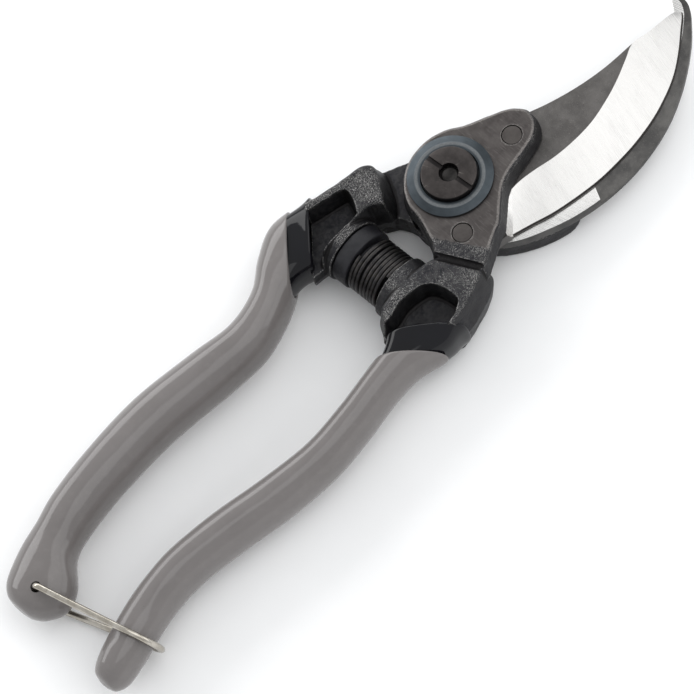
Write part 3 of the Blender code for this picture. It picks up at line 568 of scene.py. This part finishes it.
def forged_steel(name, ground_edge=None):
    """Forged steel: dark scale with bright specks on rims and edges, and a ground top."""
    look = Look(name, (0.05, 0.047, 0.045), 0.5, 0.85)
    height = look.height()
    bend = look.bend()
    coarse = look.grain(0.9, 5.0, 0.7)
    fine = look.grain(5.5, 2.0, 0.85)
    patches = look.grain(0.16, 2.0)
    scale = look.layer(coarse, 0.35, 0.7, (0.02, 0.02, 0.023), (0.056, 0.055, 0.056))
    scale = look.layer(patches, 0.4, 0.65, scale, (0.03, 0.029, 0.03), 0.5)
    # Specks gather on the high rims and crowd along the worn edges
    rim = look.ramp(patches, 0.32, 0.6, 0.55, 1.0)
    rim = look.calc("MULTIPLY", look.ramp(height, 14.4, 15.8), rim)
    edge = look.ramp(bend, 0.08, 0.5, 0.0, 0.75)
    hollow = look.ramp(bend, -0.02, -0.12)
    crowd = look.calc("MAXIMUM", look.calc("MULTIPLY", rim, 0.7), edge)
    limit = look.calc("SUBTRACT", 0.76, look.calc("MULTIPLY", crowd, 0.28))
    over = look.calc("SUBTRACT", fine, limit)
    color = look.layer(over, 0.0, 0.05, scale, (0.4, 0.392, 0.378))
    # Inward bends, the hollows and fillets, are painted near-black: painted shade
    color = look.mixed(look.calc("MULTIPLY", hollow, 0.8), color, (0.012, 0.011, 0.011))
    rough = look.ramp(coarse, 0.3, 0.75, 0.42, 0.62)
    relief = look.bump(coarse, 0.12)
    relief = look.bump(fine, 0.05, relief)
    if ground_edge is not None:
        direction, offset = ground_edge
        wobble = look.calc("MULTIPLY", look.calc("SUBTRACT", coarse, 0.5), 1.6)
        past = look.vector("DOT_PRODUCT", look.place, direction).outputs["Value"]
        line = look.calc("ADD", look.calc("SUBTRACT", past, offset), wobble)
        top = look.ramp(height, PLATE_B_TOP - 0.3, PLATE_B_TOP - 0.14)
        ground = look.calc("MULTIPLY", look.ramp(line, -0.35, 0.35), top)
        lines = look.grain(1.0, 4.0, 0.6, (0.35, 6.0, 1.0), radians(-88))
        cloud = look.grain(0.35, 4.0)
        dots = look.grain(4.5, 2.0)
        face = look.layer(cloud, 0.3, 0.7, (0.064, 0.057, 0.055), (0.096, 0.087, 0.083))
        face = look.layer(lines, 0.54, 0.7, face, (0.17, 0.158, 0.151), 0.6)
        face = look.layer(dots, 0.66, 0.72, face, (0.05, 0.045, 0.043), 0.6)
        worn = look.calc("MULTIPLY", look.ramp(bend, 0.06, 0.24), look.ramp(fine, 0.42, 0.62))
        face = look.mixed(look.calc("MULTIPLY", worn, 0.5), face, (0.32, 0.305, 0.29))
        color = look.mixed(ground, color, face)
        rough = look.mixed_number(ground, rough, look.ramp(lines, 0.3, 0.7, 0.34, 0.46))
        relief = look.mixed_relief(ground, relief, look.bump(lines, 0.012))
    return look.done(color, rough, relief)


def oxide_steel(name, color, speck, roughness=0.42):
    """Dark oxide on ground steel: cloudy, speckled and finely pitted."""
    look = Look(name, color, roughness, 0.9)
    cloud = look.grain(0.22, 4.0)
    fine = look.grain(5.0, 3.0, 0.7)
    pits = look.grain(1.9, 2.0)
    tone = look.layer(cloud, 0.3, 0.7, shaded(color, 0.68), color)
    tone = look.layer(fine, 0.55, 0.75, tone, speck, 0.6)
    tone = look.layer(pits, 0.68, 0.74, tone, shaded(color, 0.3), 0.7)
    rough = look.ramp(fine, 0.3, 0.7, roughness * 0.85, roughness * 1.2)
    relief = look.bump(fine, 0.025, look.bump(pits, 0.02))
    return look.done(tone, rough, relief)


def polished_steel(name, color, turn=radians(-75), roughness=0.3):
    """Ground steel: fine parallel grinding lines, soft clouds and a few dark specks."""
    look = Look(name, color, roughness, 1.0)
    lines = look.grain(1.0, 5.0, 0.65, (0.12, 7.0, 1.0), turn)
    broad = look.grain(0.4, 3.0, 0.5, (0.15, 1.0, 1.0), turn)
    specks = look.grain(1.3, 3.0, 0.75)
    tone = look.layer(lines, 0.35, 0.7, shaded(color, 0.74), color)
    tone = look.layer(broad, 0.35, 0.65, tone, shaded(color, 0.92), 0.5)
    tone = look.layer(specks, 0.735, 0.78, tone, (0.22, 0.2, 0.18), 0.75)
    rough = look.ramp(lines, 0.3, 0.7, roughness * 0.8, roughness * 1.3)
    return look.done(tone, rough, look.bump(lines, 0.01))


def hook_steel(name):
    """The hook: dark scale, but bright where its top face was ground with its land."""
    look = Look(name, (0.07, 0.068, 0.066), 0.42, 0.95)
    height = look.height()
    fine = look.grain(4.0, 4.0, 0.7)
    cloud = look.grain(0.25, 3.0)
    lines = look.grain(1.0, 5.0, 0.65, (0.14, 6.0, 1.0), radians(-103))
    dark = look.layer(cloud, 0.3, 0.7, (0.055, 0.054, 0.053), (0.1, 0.097, 0.093))
    dark = look.layer(fine, 0.55, 0.72, dark, (0.2, 0.19, 0.18), 0.6)
    bright = look.layer(lines, 0.35, 0.7, (0.6, 0.59, 0.575), (0.78, 0.77, 0.755))
    ground = look.ramp(height, HOOK_TOP - 0.12, HOOK_TOP - 0.05)
    tone = look.mixed(ground, dark, bright)
    rough = look.ramp(fine, 0.3, 0.7, 0.36, 0.52)
    rough = look.mixed_number(ground, rough, look.ramp(lines, 0.3, 0.7, 0.22, 0.34))
    return look.done(tone, rough, look.bump(fine, 0.02))


def turned_steel(name, color, light, roughness, worn):
    """Turned and tempered steel: rings of tool marks, clouds of temper colour, scuffs."""
    look = Look(name, color, roughness, 0.95)
    flat = look.vector("MULTIPLY", look.place, (1, 1, 0)).outputs[0]
    radius = look.vector("LENGTH", flat).outputs["Value"]
    rings_at = look.add("CombineXYZ", {"X": radius}).outputs[0]
    rings = look.grain(7.0, 3.0, 0.7, place=rings_at)
    cloud = look.grain(0.3, 3.0)
    fine = look.grain(5.0, 3.0, 0.7)
    tone = look.layer(cloud, 0.3, 0.7, shaded(color, 0.75), color)
    tone = look.layer(rings, 0.5, 0.75, tone, light, 0.45)
    inner, outer = worn
    wear = look.ramp(radius, inner - 0.3, inner + 0.25)
    wear = look.calc("MULTIPLY", wear, look.ramp(radius, outer + 0.2, outer - 0.1))
    wear = look.calc("MULTIPLY", wear, look.ramp(fine, 0.25, 0.65, 0.3, 0.75))
    tone = look.mixed(wear, tone, (0.22, 0.23, 0.235))
    rough = look.ramp(rings, 0.3, 0.7, roughness * 0.85, roughness * 1.2)
    relief = look.bump(fine, 0.01, look.bump(rings, 0.012))
    return look.done(tone, rough, relief)


def scratched_steel(name):
    """The nut: dark brown-grey oxide with fine scratches in several directions."""
    look = Look(name, (0.075, 0.068, 0.066), 0.4, 0.9)
    cloud = look.grain(0.45, 4.0)
    fine = look.grain(5.0, 3.0, 0.7)
    tone = look.layer(cloud, 0.3, 0.7, (0.036, 0.032, 0.031), (0.055, 0.049, 0.047))
    for turn, limit in ((70, 0.7), (20, 0.73), (-55, 0.74)):
        lines = look.grain(1.0, 2.0, 0.5, (0.25, 5.0, 1.0), radians(turn))
        tone = look.layer(lines, limit - 0.03, limit + 0.03, tone, (0.2, 0.185, 0.17), 0.5)
    # Below the top face, in the slot and down the sides, the colour is painted near-black: painted
    # shade
    sunk = look.ramp(look.height(), NUT_TOP - 0.12, NUT_TOP - 0.35)
    tone = look.mixed(sunk, tone, (0.02, 0.018, 0.018))
    rough = look.ramp(fine, 0.3, 0.7, 0.36, 0.5)
    return look.done(tone, rough, look.bump(fine, 0.02))


def spring_steel(name):
    """Oil-black spring wire: streaks drawn along the wire, brown where it has rubbed."""
    look = Look(name, (0.035, 0.031, 0.029), 0.36, 0.85)
    streaks = look.grain(0.8, 4.0, 0.6)
    fine = look.grain(4.0, 3.0)
    tone = look.layer(streaks, 0.35, 0.7, (0.022, 0.021, 0.022), (0.05, 0.046, 0.044))
    tone = look.layer(fine, 0.62, 0.72, tone, (0.13, 0.11, 0.095), 0.5)
    rough = look.ramp(fine, 0.3, 0.7, 0.28, 0.42)
    return look.done(tone, rough, look.bump(fine, 0.012))


def nylon(name):
    """Matt black moulded nylon with a fine grain and a little dust."""
    look = Look(name, (0.01, 0.01, 0.012), 0.5, 0.0, Specular_IOR_Level=0.3)
    fine = look.grain(3.0, 4.0)
    cloud = look.grain(0.35, 3.0)
    tone = look.layer(cloud, 0.35, 0.7, (0.008, 0.008, 0.01), (0.016, 0.016, 0.019))
    tone = look.layer(fine, 0.66, 0.76, tone, (0.07, 0.066, 0.062), 0.4)
    rough = look.ramp(fine, 0.3, 0.7, 0.42, 0.6)
    return look.done(tone, rough, look.bump(fine, 0.03))


def nickel(name):
    """Nickel-plated wire: drawn lines, faint tarnish and small scratches."""
    look = Look(name, (0.62, 0.585, 0.53), 0.28, 1.0)
    drawn = look.grain(1.0, 3.0, 0.6, (5.0, 0.25, 1.0), radians(-16))
    cloud = look.grain(0.35, 4.0)
    spots = look.grain(2.2, 2.0)
    tone = look.layer(cloud, 0.3, 0.7, (0.36, 0.33, 0.28), (0.52, 0.49, 0.44))
    tone = look.layer(drawn, 0.55, 0.75, tone, (0.66, 0.64, 0.6), 0.4)
    tone = look.layer(spots, 0.66, 0.74, tone, (0.2, 0.17, 0.13), 0.6)
    rough = look.ramp(drawn, 0.3, 0.7, 0.14, 0.28)
    return look.done(tone, rough, look.bump(drawn, 0.012))


# --- Pieces ---


def section_point(row, angle, amount, power=2.5):
    """A point of a handle's superellipse section, shrunk by an amount on all sides."""
    x, low, high, half_height = row
    half_width = max((high - low) / 2 - amount, 0.05)
    half_height = max(half_height - amount, 0.05)
    sideways = copysign(abs(cos(angle)) ** (2 / power), cos(angle))
    up = copysign(abs(sin(angle)) ** (2 / power), sin(angle))
    return (x, (low + high) / 2 + half_width * sideways, MIDDLE + half_height * up)


def row_at(line, place):
    """The handle's station at a place between two of its finely spaced ones."""
    i = min(int(place), len(line) - 2)
    share = place - i
    return tuple(a + (b - a) * share for a, b in zip(line[i], line[i + 1]))


def mouth_place(line, angle, amount, side, mouth, power):
    """Where the slanting plane of a mouth crosses one long line of the handle's skin."""
    low, high = 0.0, len(line) * 0.5
    for _ in range(26):
        middle = (low + high) / 2
        x, y, _ = section_point(row_at(line, middle), angle, amount, power)
        if x - side * y > mouth:
            low = middle
        else:
            high = middle
    return low


def coat(name, rows, side, outer, wall, mouth, stop=None, power=2.1, steps=8, flare=0.0):
    """A dipped coat with a rounded lip at its slanting mouth, solid past the lip's depth.

    At the mouth the coat stands out by the flare, which dies away further in.
    """
    line = smooth_line(rows, steps)
    angles = circle(SECTION_SIDES)
    depth = wall * 0.7
    rings = []

    def ring_at_plane(amount, plane):
        places = [mouth_place(line, a, amount, side, plane, power) for a in angles]
        rows = [row_at(line, place) for place in places]
        return [section_point(row, a, amount, power) for row, a in zip(rows, angles)]

    rings.append(ring_at_plane(outer - flare + wall, mouth - depth - 0.8))
    for k in range(9):
        turn = pi * (1 - k / 8)
        amount = outer - flare + wall / 2 - wall / 2 * cos(turn)
        rings.append(ring_at_plane(amount, mouth - depth * (1 - sin(turn))))
    starts = [mouth_place(line, a, outer - flare, side, mouth - depth, power) for a in angles]
    join = ceil(max(starts)) + steps
    for k in range(1, 25):
        ring = []
        for start, angle in zip(starts, angles):
            row = row_at(line, start + (join - start) * k / 24)
            ring.append(section_point(row, angle, outer - flare * (1 - k / 24) ** 3, power))
        rings.append(ring)
    last = len(line) - 1 if stop is None else int(stop * steps)
    for i in range(join + 1, last + 1):
        rings.append([section_point(line[i], a, outer, power) for a in angles])
    return loft(name, rings)


def dent(obj, place, radius, depth):
    """Presses a soft dent into the skin."""
    co = vectors(obj.data, "co")
    away = np.linalg.norm(co - np.array(place) * MM, axis=1) / (radius * MM)
    push = np.exp(-(away**2)) * depth * MM
    move_to(obj.data, co - vectors(obj.data, "normal") * push[:, None])


def cylinder(radius, low, high, place=(0, 0), sides=96):
    return lathe("cylinder", ((radius, high), (radius, low)), sides, place)


def build_coats():
    grey = vinyl("grey_vinyl", (0.166, 0.153, 0.149), (0.149, 0.137, 0.133), 0.11, 0.2)
    black = vinyl("black_vinyl", (0.005, 0.005, 0.007), (0.004, 0.004, 0.005), 0.05, 0.15, 1.34)
    for letter, rows, under_rows, side, under_mouth, grip_mouth in (
        ("a", HANDLE_A, UNDERCOAT_A, 1, UNDERCOAT_MOUTH_A, GRIP_MOUTH_A),
        ("b", HANDLE_B, UNDERCOAT_B, -1, UNDERCOAT_MOUTH_B, GRIP_MOUTH_B),
    ):
        body = f"handle_{letter}"
        grip = coat(f"grip_{letter}", rows, side, 0.0, GRIP_WALL, grip_mouth)
        if letter == "a":
            for height in (MIDDLE + 6.2, MIDDLE - 6.2):
                dent(grip, (*LATCH_HOLE, height), 1.9, 0.22)
            cut(grip, cylinder(LATCH_HOLE_RADIUS, -3, 20, LATCH_HOLE, 64))
        else:
            dent(grip, (-127.4, -13.6, MIDDLE + 6.0), 1.6, 0.3)
        finish(grip, body, f"{body}_grip", grey, 50)
        under = coat(
            f"undercoat_{letter}", under_rows, side, UNDERCOAT_OUT, UNDERCOAT_WALL, under_mouth,
            stop=7, power=3.0, flare=1.9,
        )
        finish(under, body, f"{body}_undercoat", black, 50)


def block_body(outline, pocket):
    """A drafted block with a pocket in each face."""
    half = (BLOCK_TOP - BLOCK_LOW) / 2
    line = smooth_line(outline, 8, True)
    lower = [(BLOCK_LOW, DRAFT + 0.8), (BLOCK_LOW + 0.3, DRAFT + 0.3), (BLOCK_LOW + 0.8, DRAFT)]
    upper = [(2 * MIDDLE - z, d) for z, d in reversed(lower)]
    body = drafted("block", line, [*lower, (MIDDLE, 0.0), *upper])
    hollow = smooth_line(pocket, 8, True)
    for face in (1, -1):
        outside = MIDDLE + face * (half + 1)
        floor = MIDDLE + face * (half - POCKET_DEPTH)
        cut(body, drafted("pocket", hollow, sorted(((outside, -0.1), (floor, 1.0)))))
    return body


def slanted_end(body, side, mouth):
    """Cuts a block off along the slanting plane that its coat's mouth lies in."""
    reach = 120.0
    unit = Vector((1.0, -side, 0.0)).normalized()
    distance = mouth / sqrt(2)
    centre = unit * (distance - reach / 2)
    along = Vector((-unit.y, unit.x, 0.0))
    centre += along * along.dot(Vector((-30.0, side * 18.0, 0.0)))
    bm = bmesh.new()
    bmesh.ops.create_cube(bm, size=reach * MM)
    cutter = piece_from("end", bm)
    turn = Matrix.Rotation(atan2(unit.y, unit.x), 4, "Z")
    cutter.data.transform(Matrix.Translation(centre * MM) @ turn)
    return cut(body, cutter)


def drill_rivet_holes(forging, places, low, high):
    for place in places:
        cut(forging, cylinder(RIVET_RADIUS + RIVET_ROOM, low, high, place, 64))


def tang(rows, start):
    """The stub of a handle's core that reaches back into its block."""
    line = smooth_line(rows, 4)
    rings = [[section_point(row, a, 2.5) for a in circle(48)] for row in line[start:24]]
    return loft("tang", rings)


def below_ground_face(height):
    """0 on plate B's ground top and 1 from a little below it, in millimetres."""
    return np.clip((PLATE_B_TOP - 0.25 - height) / 0.2, 0, 1)


def build_forging_a():
    plate = smooth_line(PLATE_A_OUTLINE, 8, True)
    plate = drafted("plate", plate, ((0.0, 0.0), (PLATE_A_TOP, 0.0)))
    neck = drafted("neck", NECK_OUTLINE, ((BLOCK_LOW + 0.3, 0.0), (HOOK_TOP, 0.0)))
    block = slanted_end(block_body(BLOCK_A_OUTLINE, POCKET_A_OUTLINE), 1, UNDERCOAT_MOUTH_A - 1.0)
    boss = lay_on_spring_axis(cylinder(BOSS_RADIUS, 9.0, 10.9))
    peg = lay_on_spring_axis(cylinder(PEG_RADIUS, 1.5, 10.0))
    forging = fused("forging_a", [plate, neck, block, boss, peg, tang(HANDLE_A, 4)], 5)
    uneven(forging, 0.12, 2.6)
    drill_rivet_holes(forging, HOOK_RIVETS, -1, 3)
    cut(forging, cylinder(BOLT_HEAD_RADIUS + 0.3, -1, BOLT_HEAD_TOP + 0.3))
    mark_edges(forging)
    material = forged_steel("forged_steel_a")
    finish(forging, "handle_a", "handle_a_forging", material, 50)


def build_forging_b():
    levels = (
        (PLATE_B_LOW, 0.0), (PLATE_B_TOP - 0.6, 0.85), (PLATE_B_TOP - 0.15, 1.1),
        (PLATE_B_TOP, 1.4),
    )
    plate = drafted("plate", smooth_line(PLATE_B_OUTLINE, 8, True), levels)
    block = slanted_end(block_body(BLOCK_B_OUTLINE, POCKET_B_OUTLINE), -1, UNDERCOAT_MOUTH_B - 1.0)
    boss = lay_on_spring_axis(cylinder(BOSS_RADIUS, -10.7, -5.2))
    peg = lay_on_spring_axis(cylinder(PEG_RADIUS, -6.2, -2.0))
    forging = fused("forging_b", [plate, block, boss, peg, tang(HANDLE_B, 4)], 0)
    start, stop = (Vector((*end, 0.0)) for end in GROOVE_ENDS)
    path = [start.lerp(stop, i / 12) + Vector((0, 0, BLOCK_TOP + 0.35)) for i in range(13)]
    cut(forging, tube("groove", path, 0.95, 24))
    forging = fused("forging_b", [forging], 4)
    uneven(forging, 0.12, 2.6, below_ground_face)
    drill_rivet_holes(forging, BLADE_RIVETS, 15, 18)
    mark_edges(forging)
    direction = Vector((0.894, 0.447, 0.0)).normalized()
    ground_edge = (tuple(direction), direction.dot(Vector((-10.6, -12.6, 0.0))))
    material = forged_steel("forged_steel_b", ground_edge)
    finish(forging, "handle_b", "handle_b_forging", material, 50)


def build_hook():
    outline = smooth_line(HOOK_OUTLINE, 10, True)
    levels = ((HOOK_LOW, 0.12), (HOOK_LOW + 0.12, 0.0), (HOOK_TOP - 0.05, 0.0), (HOOK_TOP, 0.06))
    hook = drafted("hook", outline, levels)
    rings = []
    line = smooth_line(HOOK_SINK, 8)
    for i, place in enumerate(line):
        along = Vector(line[min(i + 1, len(line) - 1)]) - Vector(line[max(i - 1, 0)])
        out = Vector((along.y, -along.x)).normalized()
        if i < 8:
            out = Vector(HOOK_SINK_START).lerp(out, i / 8).normalized()
        far = Vector(place) + out * 8.0
        rings.append([
            (*place, HOOK_TOP - 0.6), (*far, HOOK_TOP - 3.6),
            (*far, HOOK_TOP + 1), (*place, HOOK_TOP + 1),
        ])
    cut(hook, loft("sink", rings))
    bevelled(hook, 0.14, 3, 30)
    finish(hook, "handle_a", "hook_blade", hook_steel("hook_steel"), 40)


def build_blade():
    """The blade: a flat with its back, a wide bevel down to the edge, and a plunge at the heel."""
    steps, columns = 10, 16
    spans = smooth_line([(*low, *high) for low, high in BEVEL], steps)
    bevel = [(Vector(span[:3]), Vector(span[3:])) for span in spans]
    bm = bmesh.new()

    def vert(point):
        return bm.verts.new(Vector(point) * MM)

    rows = []
    for low, high in bevel:
        lip = low.lerp(high, 0.35 / (high - low).length) + Vector((0, 0, 0.32))
        rows.append([vert(low), *(vert(lip.lerp(high, k / columns)) for k in range(columns + 1))])
    bright, dark, lip_shade_faces = [], [], []
    for first, second in zip(rows, rows[1:]):
        for k in range(columns + 1):
            faces = bright if k else lip_shade_faces
            faces.append(bm.faces.new((first[k], second[k], second[k + 1], first[k + 1])))
    # The plunge: two narrow facets that drop from the heel's flat to the bevel
    heel = smooth_line(PLUNGE, 8)
    heel = [heel[round(k * (len(heel) - 1) / (columns + 1))] for k in range(columns + 2)]
    top = [vert((x, y, BLADE_TOP)) for x, y in heel]
    ridge = []
    for (x, y), corner in zip(heel, rows[0]):
        edge = corner.co / MM
        height = BLADE_TOP * 0.3 + edge.z * 0.7
        ridge.append(vert((x * 0.45 + edge.x * 0.55, y * 0.45 + edge.y * 0.55, height)))
    for first, second in ((top, ridge), (ridge, rows[0])):
        for k in range(columns + 1):
            bright.append(bm.faces.new((first[k], second[k], second[k + 1], first[k + 1])))
    # The back, from where the bevel meets the spine round to the heel
    meets = next(i for i, (_, high) in enumerate(bevel) if high.x > 51.4)
    back = smooth_line([tuple(bevel[meets][1][:2]), *BLADE_BACK, heel[0]], 8)
    back_top = [rows[meets][-1]]
    back_top += [vert((x, y, BLADE_TOP)) for x, y in back[1:-1]]
    flat_upper = [rows[i][-1] for i in range(meets + 1)]
    dark.append(bm.faces.new([*back_top, *top, *flat_upper[:-1]]))
    # Walls down to the underside
    rim = [*back_top, top[0], ridge[0], *(row[0] for row in rows), *rows[-1][1:]]
    rim += [rows[i][-1] for i in range(len(rows) - 2, meets, -1)]
    under = [vert((v.co.x / MM, v.co.y / MM, BLADE_LOW)) for v in rim]
    for i in range(len(rim)):
        j = (i + 1) % len(rim)
        dark.append(bm.faces.new((rim[i], rim[j], under[j], under[i])))
    dark.append(bm.faces.new(under))
    for face in bright:
        face.material_index = 1
    # The lip strip along the cutting edge gets a near-black steel: painted shade of the seam between
    # blade and hook
    for face in lip_shade_faces:
        face.material_index = 2
    bmesh.ops.triangulate(bm, faces=[f for f in dark if len(f.verts) > 4])
    blade = piece_from("blade", bm)
    for material in (
        oxide_steel("blade_oxide", (0.135, 0.128, 0.123), (0.26, 0.245, 0.23)),
        polished_steel("blade_bevel", (0.66, 0.65, 0.635)),
        polished_steel("blade_lip_painted_shade", (0.05, 0.046, 0.044)),
    ):
        blade.data.materials.append(material)
    finish(blade, "handle_b", "cutting_blade", None, 12)


def build_rivets():
    material = oxide_steel("rivet_steel", (0.082, 0.074, 0.07), (0.14, 0.13, 0.122))
    edge = 0.18
    inner = RIVET_RADIUS - edge
    turns = [pi / 2 * k / 8 for k in range(9)]
    for body, prefix, places, low, high in (
        ("handle_b", "blade_rivet", BLADE_RIVETS, 8.4, PLATE_B_TOP - 0.08),
        ("handle_a", "hook_rivet", HOOK_RIVETS, 0.1, 7.9),
    ):
        for i, place in enumerate(places, 1):
            profile = [(0.01, high)]
            profile += [(inner + edge * sin(t), high - edge + edge * cos(t)) for t in turns]
            profile += [(inner + edge * cos(t), low + edge - edge * sin(t)) for t in turns]
            profile.append((0.01, low))
            rivet = lathe(f"{prefix}_face_{i}", profile, 64, place)
            finish(rivet, body, f"{prefix}_{i}", material)


def rounded(profile, radius, steps=5):
    """Rounds the corners of a lathe profile. Each corner may give its own radius."""
    result = []
    count = len(profile)
    for i, corner in enumerate(profile):
        point = Vector(corner[:2])
        size = corner[2] if len(corner) > 2 else radius
        before = Vector(profile[i - 1][:2]) - point
        after = Vector(profile[(i + 1) % count][:2]) - point
        size = min(size, before.length * 0.45, after.length * 0.45)
        start = point + before.normalized() * size
        stop = point + after.normalized() * size
        for k in range(steps + 1):
            t = k / steps
            result.append(tuple(start * (1 - t) ** 2 + point * 2 * t * (1 - t) + stop * t * t))
    return result


def build_pivot():
    washer = lathe("washer", rounded((
        (4.3, WASHER_LOW + 0.4), (6.7, WASHER_LOW + 0.4), (6.78, WASHER_TOP), (8.1, WASHER_TOP),
        (WASHER_RADIUS, WASHER_LOW + 0.42), (WASHER_RADIUS, WASHER_LOW), (4.3, WASHER_LOW),
    ), 0.12), 144, cyclic=True)
    blued = turned_steel("blued_steel", (0.056, 0.066, 0.074), (0.105, 0.12, 0.13), 0.36, (7.4, 8.1))
    finish(washer, "handle_a", "pivot_washer", blued)

    nut = lathe("nut", (
        (2.3, NUT_TOP), (6.15, NUT_TOP), (6.4, NUT_TOP - 0.1), (NUT_RADIUS, NUT_TOP - 0.35),
        (NUT_RADIUS, NUT_LOW), (2.3, NUT_LOW),
    ), 128, cyclic=True)
    bm = bmesh.new()
    size = Matrix.Diagonal((20 * MM, SLOT_WIDTH * MM, 1.5 * MM, 1.0))
    bmesh.ops.create_cube(bm, size=1.0, matrix=size)
    slot = piece_from("slot", bm)
    turn = Matrix.Rotation(SLOT_ANGLE, 4, "Z")
    slot.data.transform(Matrix.Translation((0, 0, NUT_TOP * MM)) @ turn)
    cut(nut, slot)
    bevelled(nut, 0.09, 3, 40)
    finish(nut, "handle_a", "pivot_nut", scratched_steel("nut_steel"))

    bolt = lathe("bolt", (
        (0.01, 17.6), (1.2, 17.7), (1.7, 18.0), (2.0, 17.9), (2.0, 17.5), (SHAFT_RADIUS, 17.4),
        (SHAFT_RADIUS, BOLT_HEAD_TOP), (BOLT_HEAD_RADIUS - 0.2, BOLT_HEAD_TOP),
        (BOLT_HEAD_RADIUS, BOLT_HEAD_TOP - 0.2), (BOLT_HEAD_RADIUS, 0.3),
        (BOLT_HEAD_RADIUS - 0.3, 0.0), (1.6, 0.0), (1.5, 0.7), (0.01, 0.7),
    ), 96)
    steel = oxide_steel("bolt_steel", (0.035, 0.033, 0.032), (0.09, 0.085, 0.08), 0.45)
    finish(bolt, "handle_a", "pivot_bolt", steel)
    bush = lathe("bush", (
        (BUSH_BORE, BUSH_TOP), (BUSH_RADIUS, BUSH_TOP), (BUSH_RADIUS, BUSH_LOW), (BUSH_BORE, BUSH_LOW),
    ), 64, cyclic=True)
    finish(bush, "handle_a", "pivot_bush", steel)


def build_spring():
    black = nylon("black_nylon")
    collar = lathe("collar", rounded((
        (COLLAR_RADIUS, COLLAR_HIGH, 0.3), (COLLAR_RADIUS, COLLAR_LOW, 0.45),
        (SEAT_BORE, COLLAR_LOW), (SEAT_BORE, COLLAR_HIGH),
    ), 0.2), 128, cyclic=True)
    lay_on_spring_axis(collar)
    finish(collar, "handle_a", "spring_collar", black)
    sleeve = lathe("sleeve", rounded((
        (SLEEVE_RADIUS, SLEEVE_HIGH), (SLEEVE_RADIUS, SLEEVE_LOW),
        (SEAT_BORE, SLEEVE_LOW), (SEAT_BORE, SLEEVE_HIGH),
    ), 0.2), 96, cyclic=True)
    lay_on_spring_axis(sleeve)
    finish(sleeve, "handle_a", "spring_sleeve", black)

    around = SPRING_RADIUS - SPRING_WIRE / 2
    per_turn = 48
    path = []
    last = len(COIL_DEPTHS) - 1
    for i in range(last * per_turn + 1):
        turns = i / per_turn
        k = min(int(turns), last - 1)
        share = turns - k
        share = share * share * (3 - 2 * share) * 0.35 + share * 0.65
        y = COIL_DEPTHS[k] + (COIL_DEPTHS[k + 1] - COIL_DEPTHS[k]) * share
        angle = 2 * pi * turns + radians(100)
        path.append((SPRING_X + around * cos(angle), y, MIDDLE + around * sin(angle)))
    coil = tube("coil", path, SPRING_WIRE / 2, 14)
    coil.data.shade_smooth()
    coil.data.set_sharp_from_angle(angle=radians(50))
    coil.data.materials.append(spring_steel("spring_steel"))
    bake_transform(coil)
    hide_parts("return_spring")


def build_latch():
    """The wire loop: up out of the hole, over handle B, round it and back underneath."""
    hole, far = Vector(LATCH_HOLE), Vector(LATCH_FAR_END)
    reach = (far - hole).length
    out = (far - hole).normalized()
    side = Vector((-out.y, out.x))
    top, bend = LATCH_HALF_HEIGHT, LATCH_BEND
    straight = reach - top - bend
    # Along the loop, up from its middle, and sideways where its two sides lean apart
    upper = [
        (bend * (1 - cos(turn)), top - bend * (1 - sin(turn)), 0.0)
        for turn in (pi / 2 * i / 12 for i in range(13))
    ]
    upper += [(bend + straight * i / 12, top, -LATCH_LEAN * i / 12) for i in range(1, 12)]
    far_end = [
        (reach - top + top * cos(turn), top * sin(turn), -LATCH_LEAN * sin(turn))
        for turn in (pi / 2 - pi * i / 40 for i in range(41))
    ]
    lower = [(along, -up, -lean) for along, up, lean in reversed(upper)]
    pin = [(0.0, (top - bend) * (i / 6 - 1), 0.0) for i in range(1, 12)]
    path = []
    for along, up, lean in upper + far_end + lower + pin:
        place = hole + out * along + side * lean
        path.append((place.x, place.y, MIDDLE + up))
    wire = tube("latch", path, LATCH_WIRE_RADIUS, 24, cyclic=True)
    finish(wire, "latch", "latch_wire", nickel("nickel_wire"), 60)


# --- Stage ---


def build_stage():
    bm = bmesh.new()
    bmesh.ops.create_grid(bm, x_segments=2, y_segments=2, size=2.5)
    floor = piece_from("floor", bm)
    floor.location = (0, 0, -0.4 * MM)
    look = Look("floor_paper", (0.86, 0.86, 0.86), 0.85, 0.0)
    paper = look.grain(0.02, 4.0)
    tone = look.layer(paper, 0.3, 0.7, (0.9, 0.9, 0.9), (0.93, 0.93, 0.93))
    floor.data.materials.append(look.done(tone))

    world = bpy.data.worlds.new("studio")
    world.use_nodes = True
    background = world.node_tree.nodes["Background"]
    background.inputs["Color"].default_value = (0.97, 0.985, 1.0, 1.0)
    background.inputs["Strength"].default_value = 0.8
    bpy.context.scene.world = world

    for name, direction, distance, size, brightness in (
        ("overhead", (0.35, -0.32, 0.9), 0.9, (0.9, 0.8), 1.15),
        ("left", (0.1, 0.88, 0.45), 1.0, (1.7, 0.5), 3.0),
        ("right", (0.8, -0.7, 0.45), 1.1, (0.8, 0.5), 1.2),
    ):
        light = bpy.data.lights.new(name, "AREA")
        light.shape = "RECTANGLE"
        light.size, light.size_y = size
        light.energy = brightness * pi * size[0] * size[1]
        lamp = placed(name, light)
        toward = Vector(direction).normalized()
        lamp.location = TARGET + toward * distance
        lamp.rotation_euler = toward.to_track_quat("Z", "Y").to_euler()

    right = Vector((0.66922, -0.71518, -0.20166))
    up = Vector((0.72789, 0.5764, 0.3714))
    back = Vector((-0.14938, -0.39534, 0.90631))
    lens = bpy.data.cameras.new("camera")
    lens.sensor_width = 36.0
    lens.lens = 230.84
    lens.clip_start = 0.01
    camera = placed("camera", lens)
    pose = Matrix((right, up, back)).transposed().to_4x4()
    pose.translation = TARGET + back
    camera.matrix_world = pose
    bpy.context.scene.camera = camera
    bpy.context.scene.view_settings.view_transform = "Standard"


build_stage()
build_coats()
build_forging_a()
build_forging_b()
build_hook()
build_blade()
build_rivets()
build_pivot()
build_spring()
build_latch()
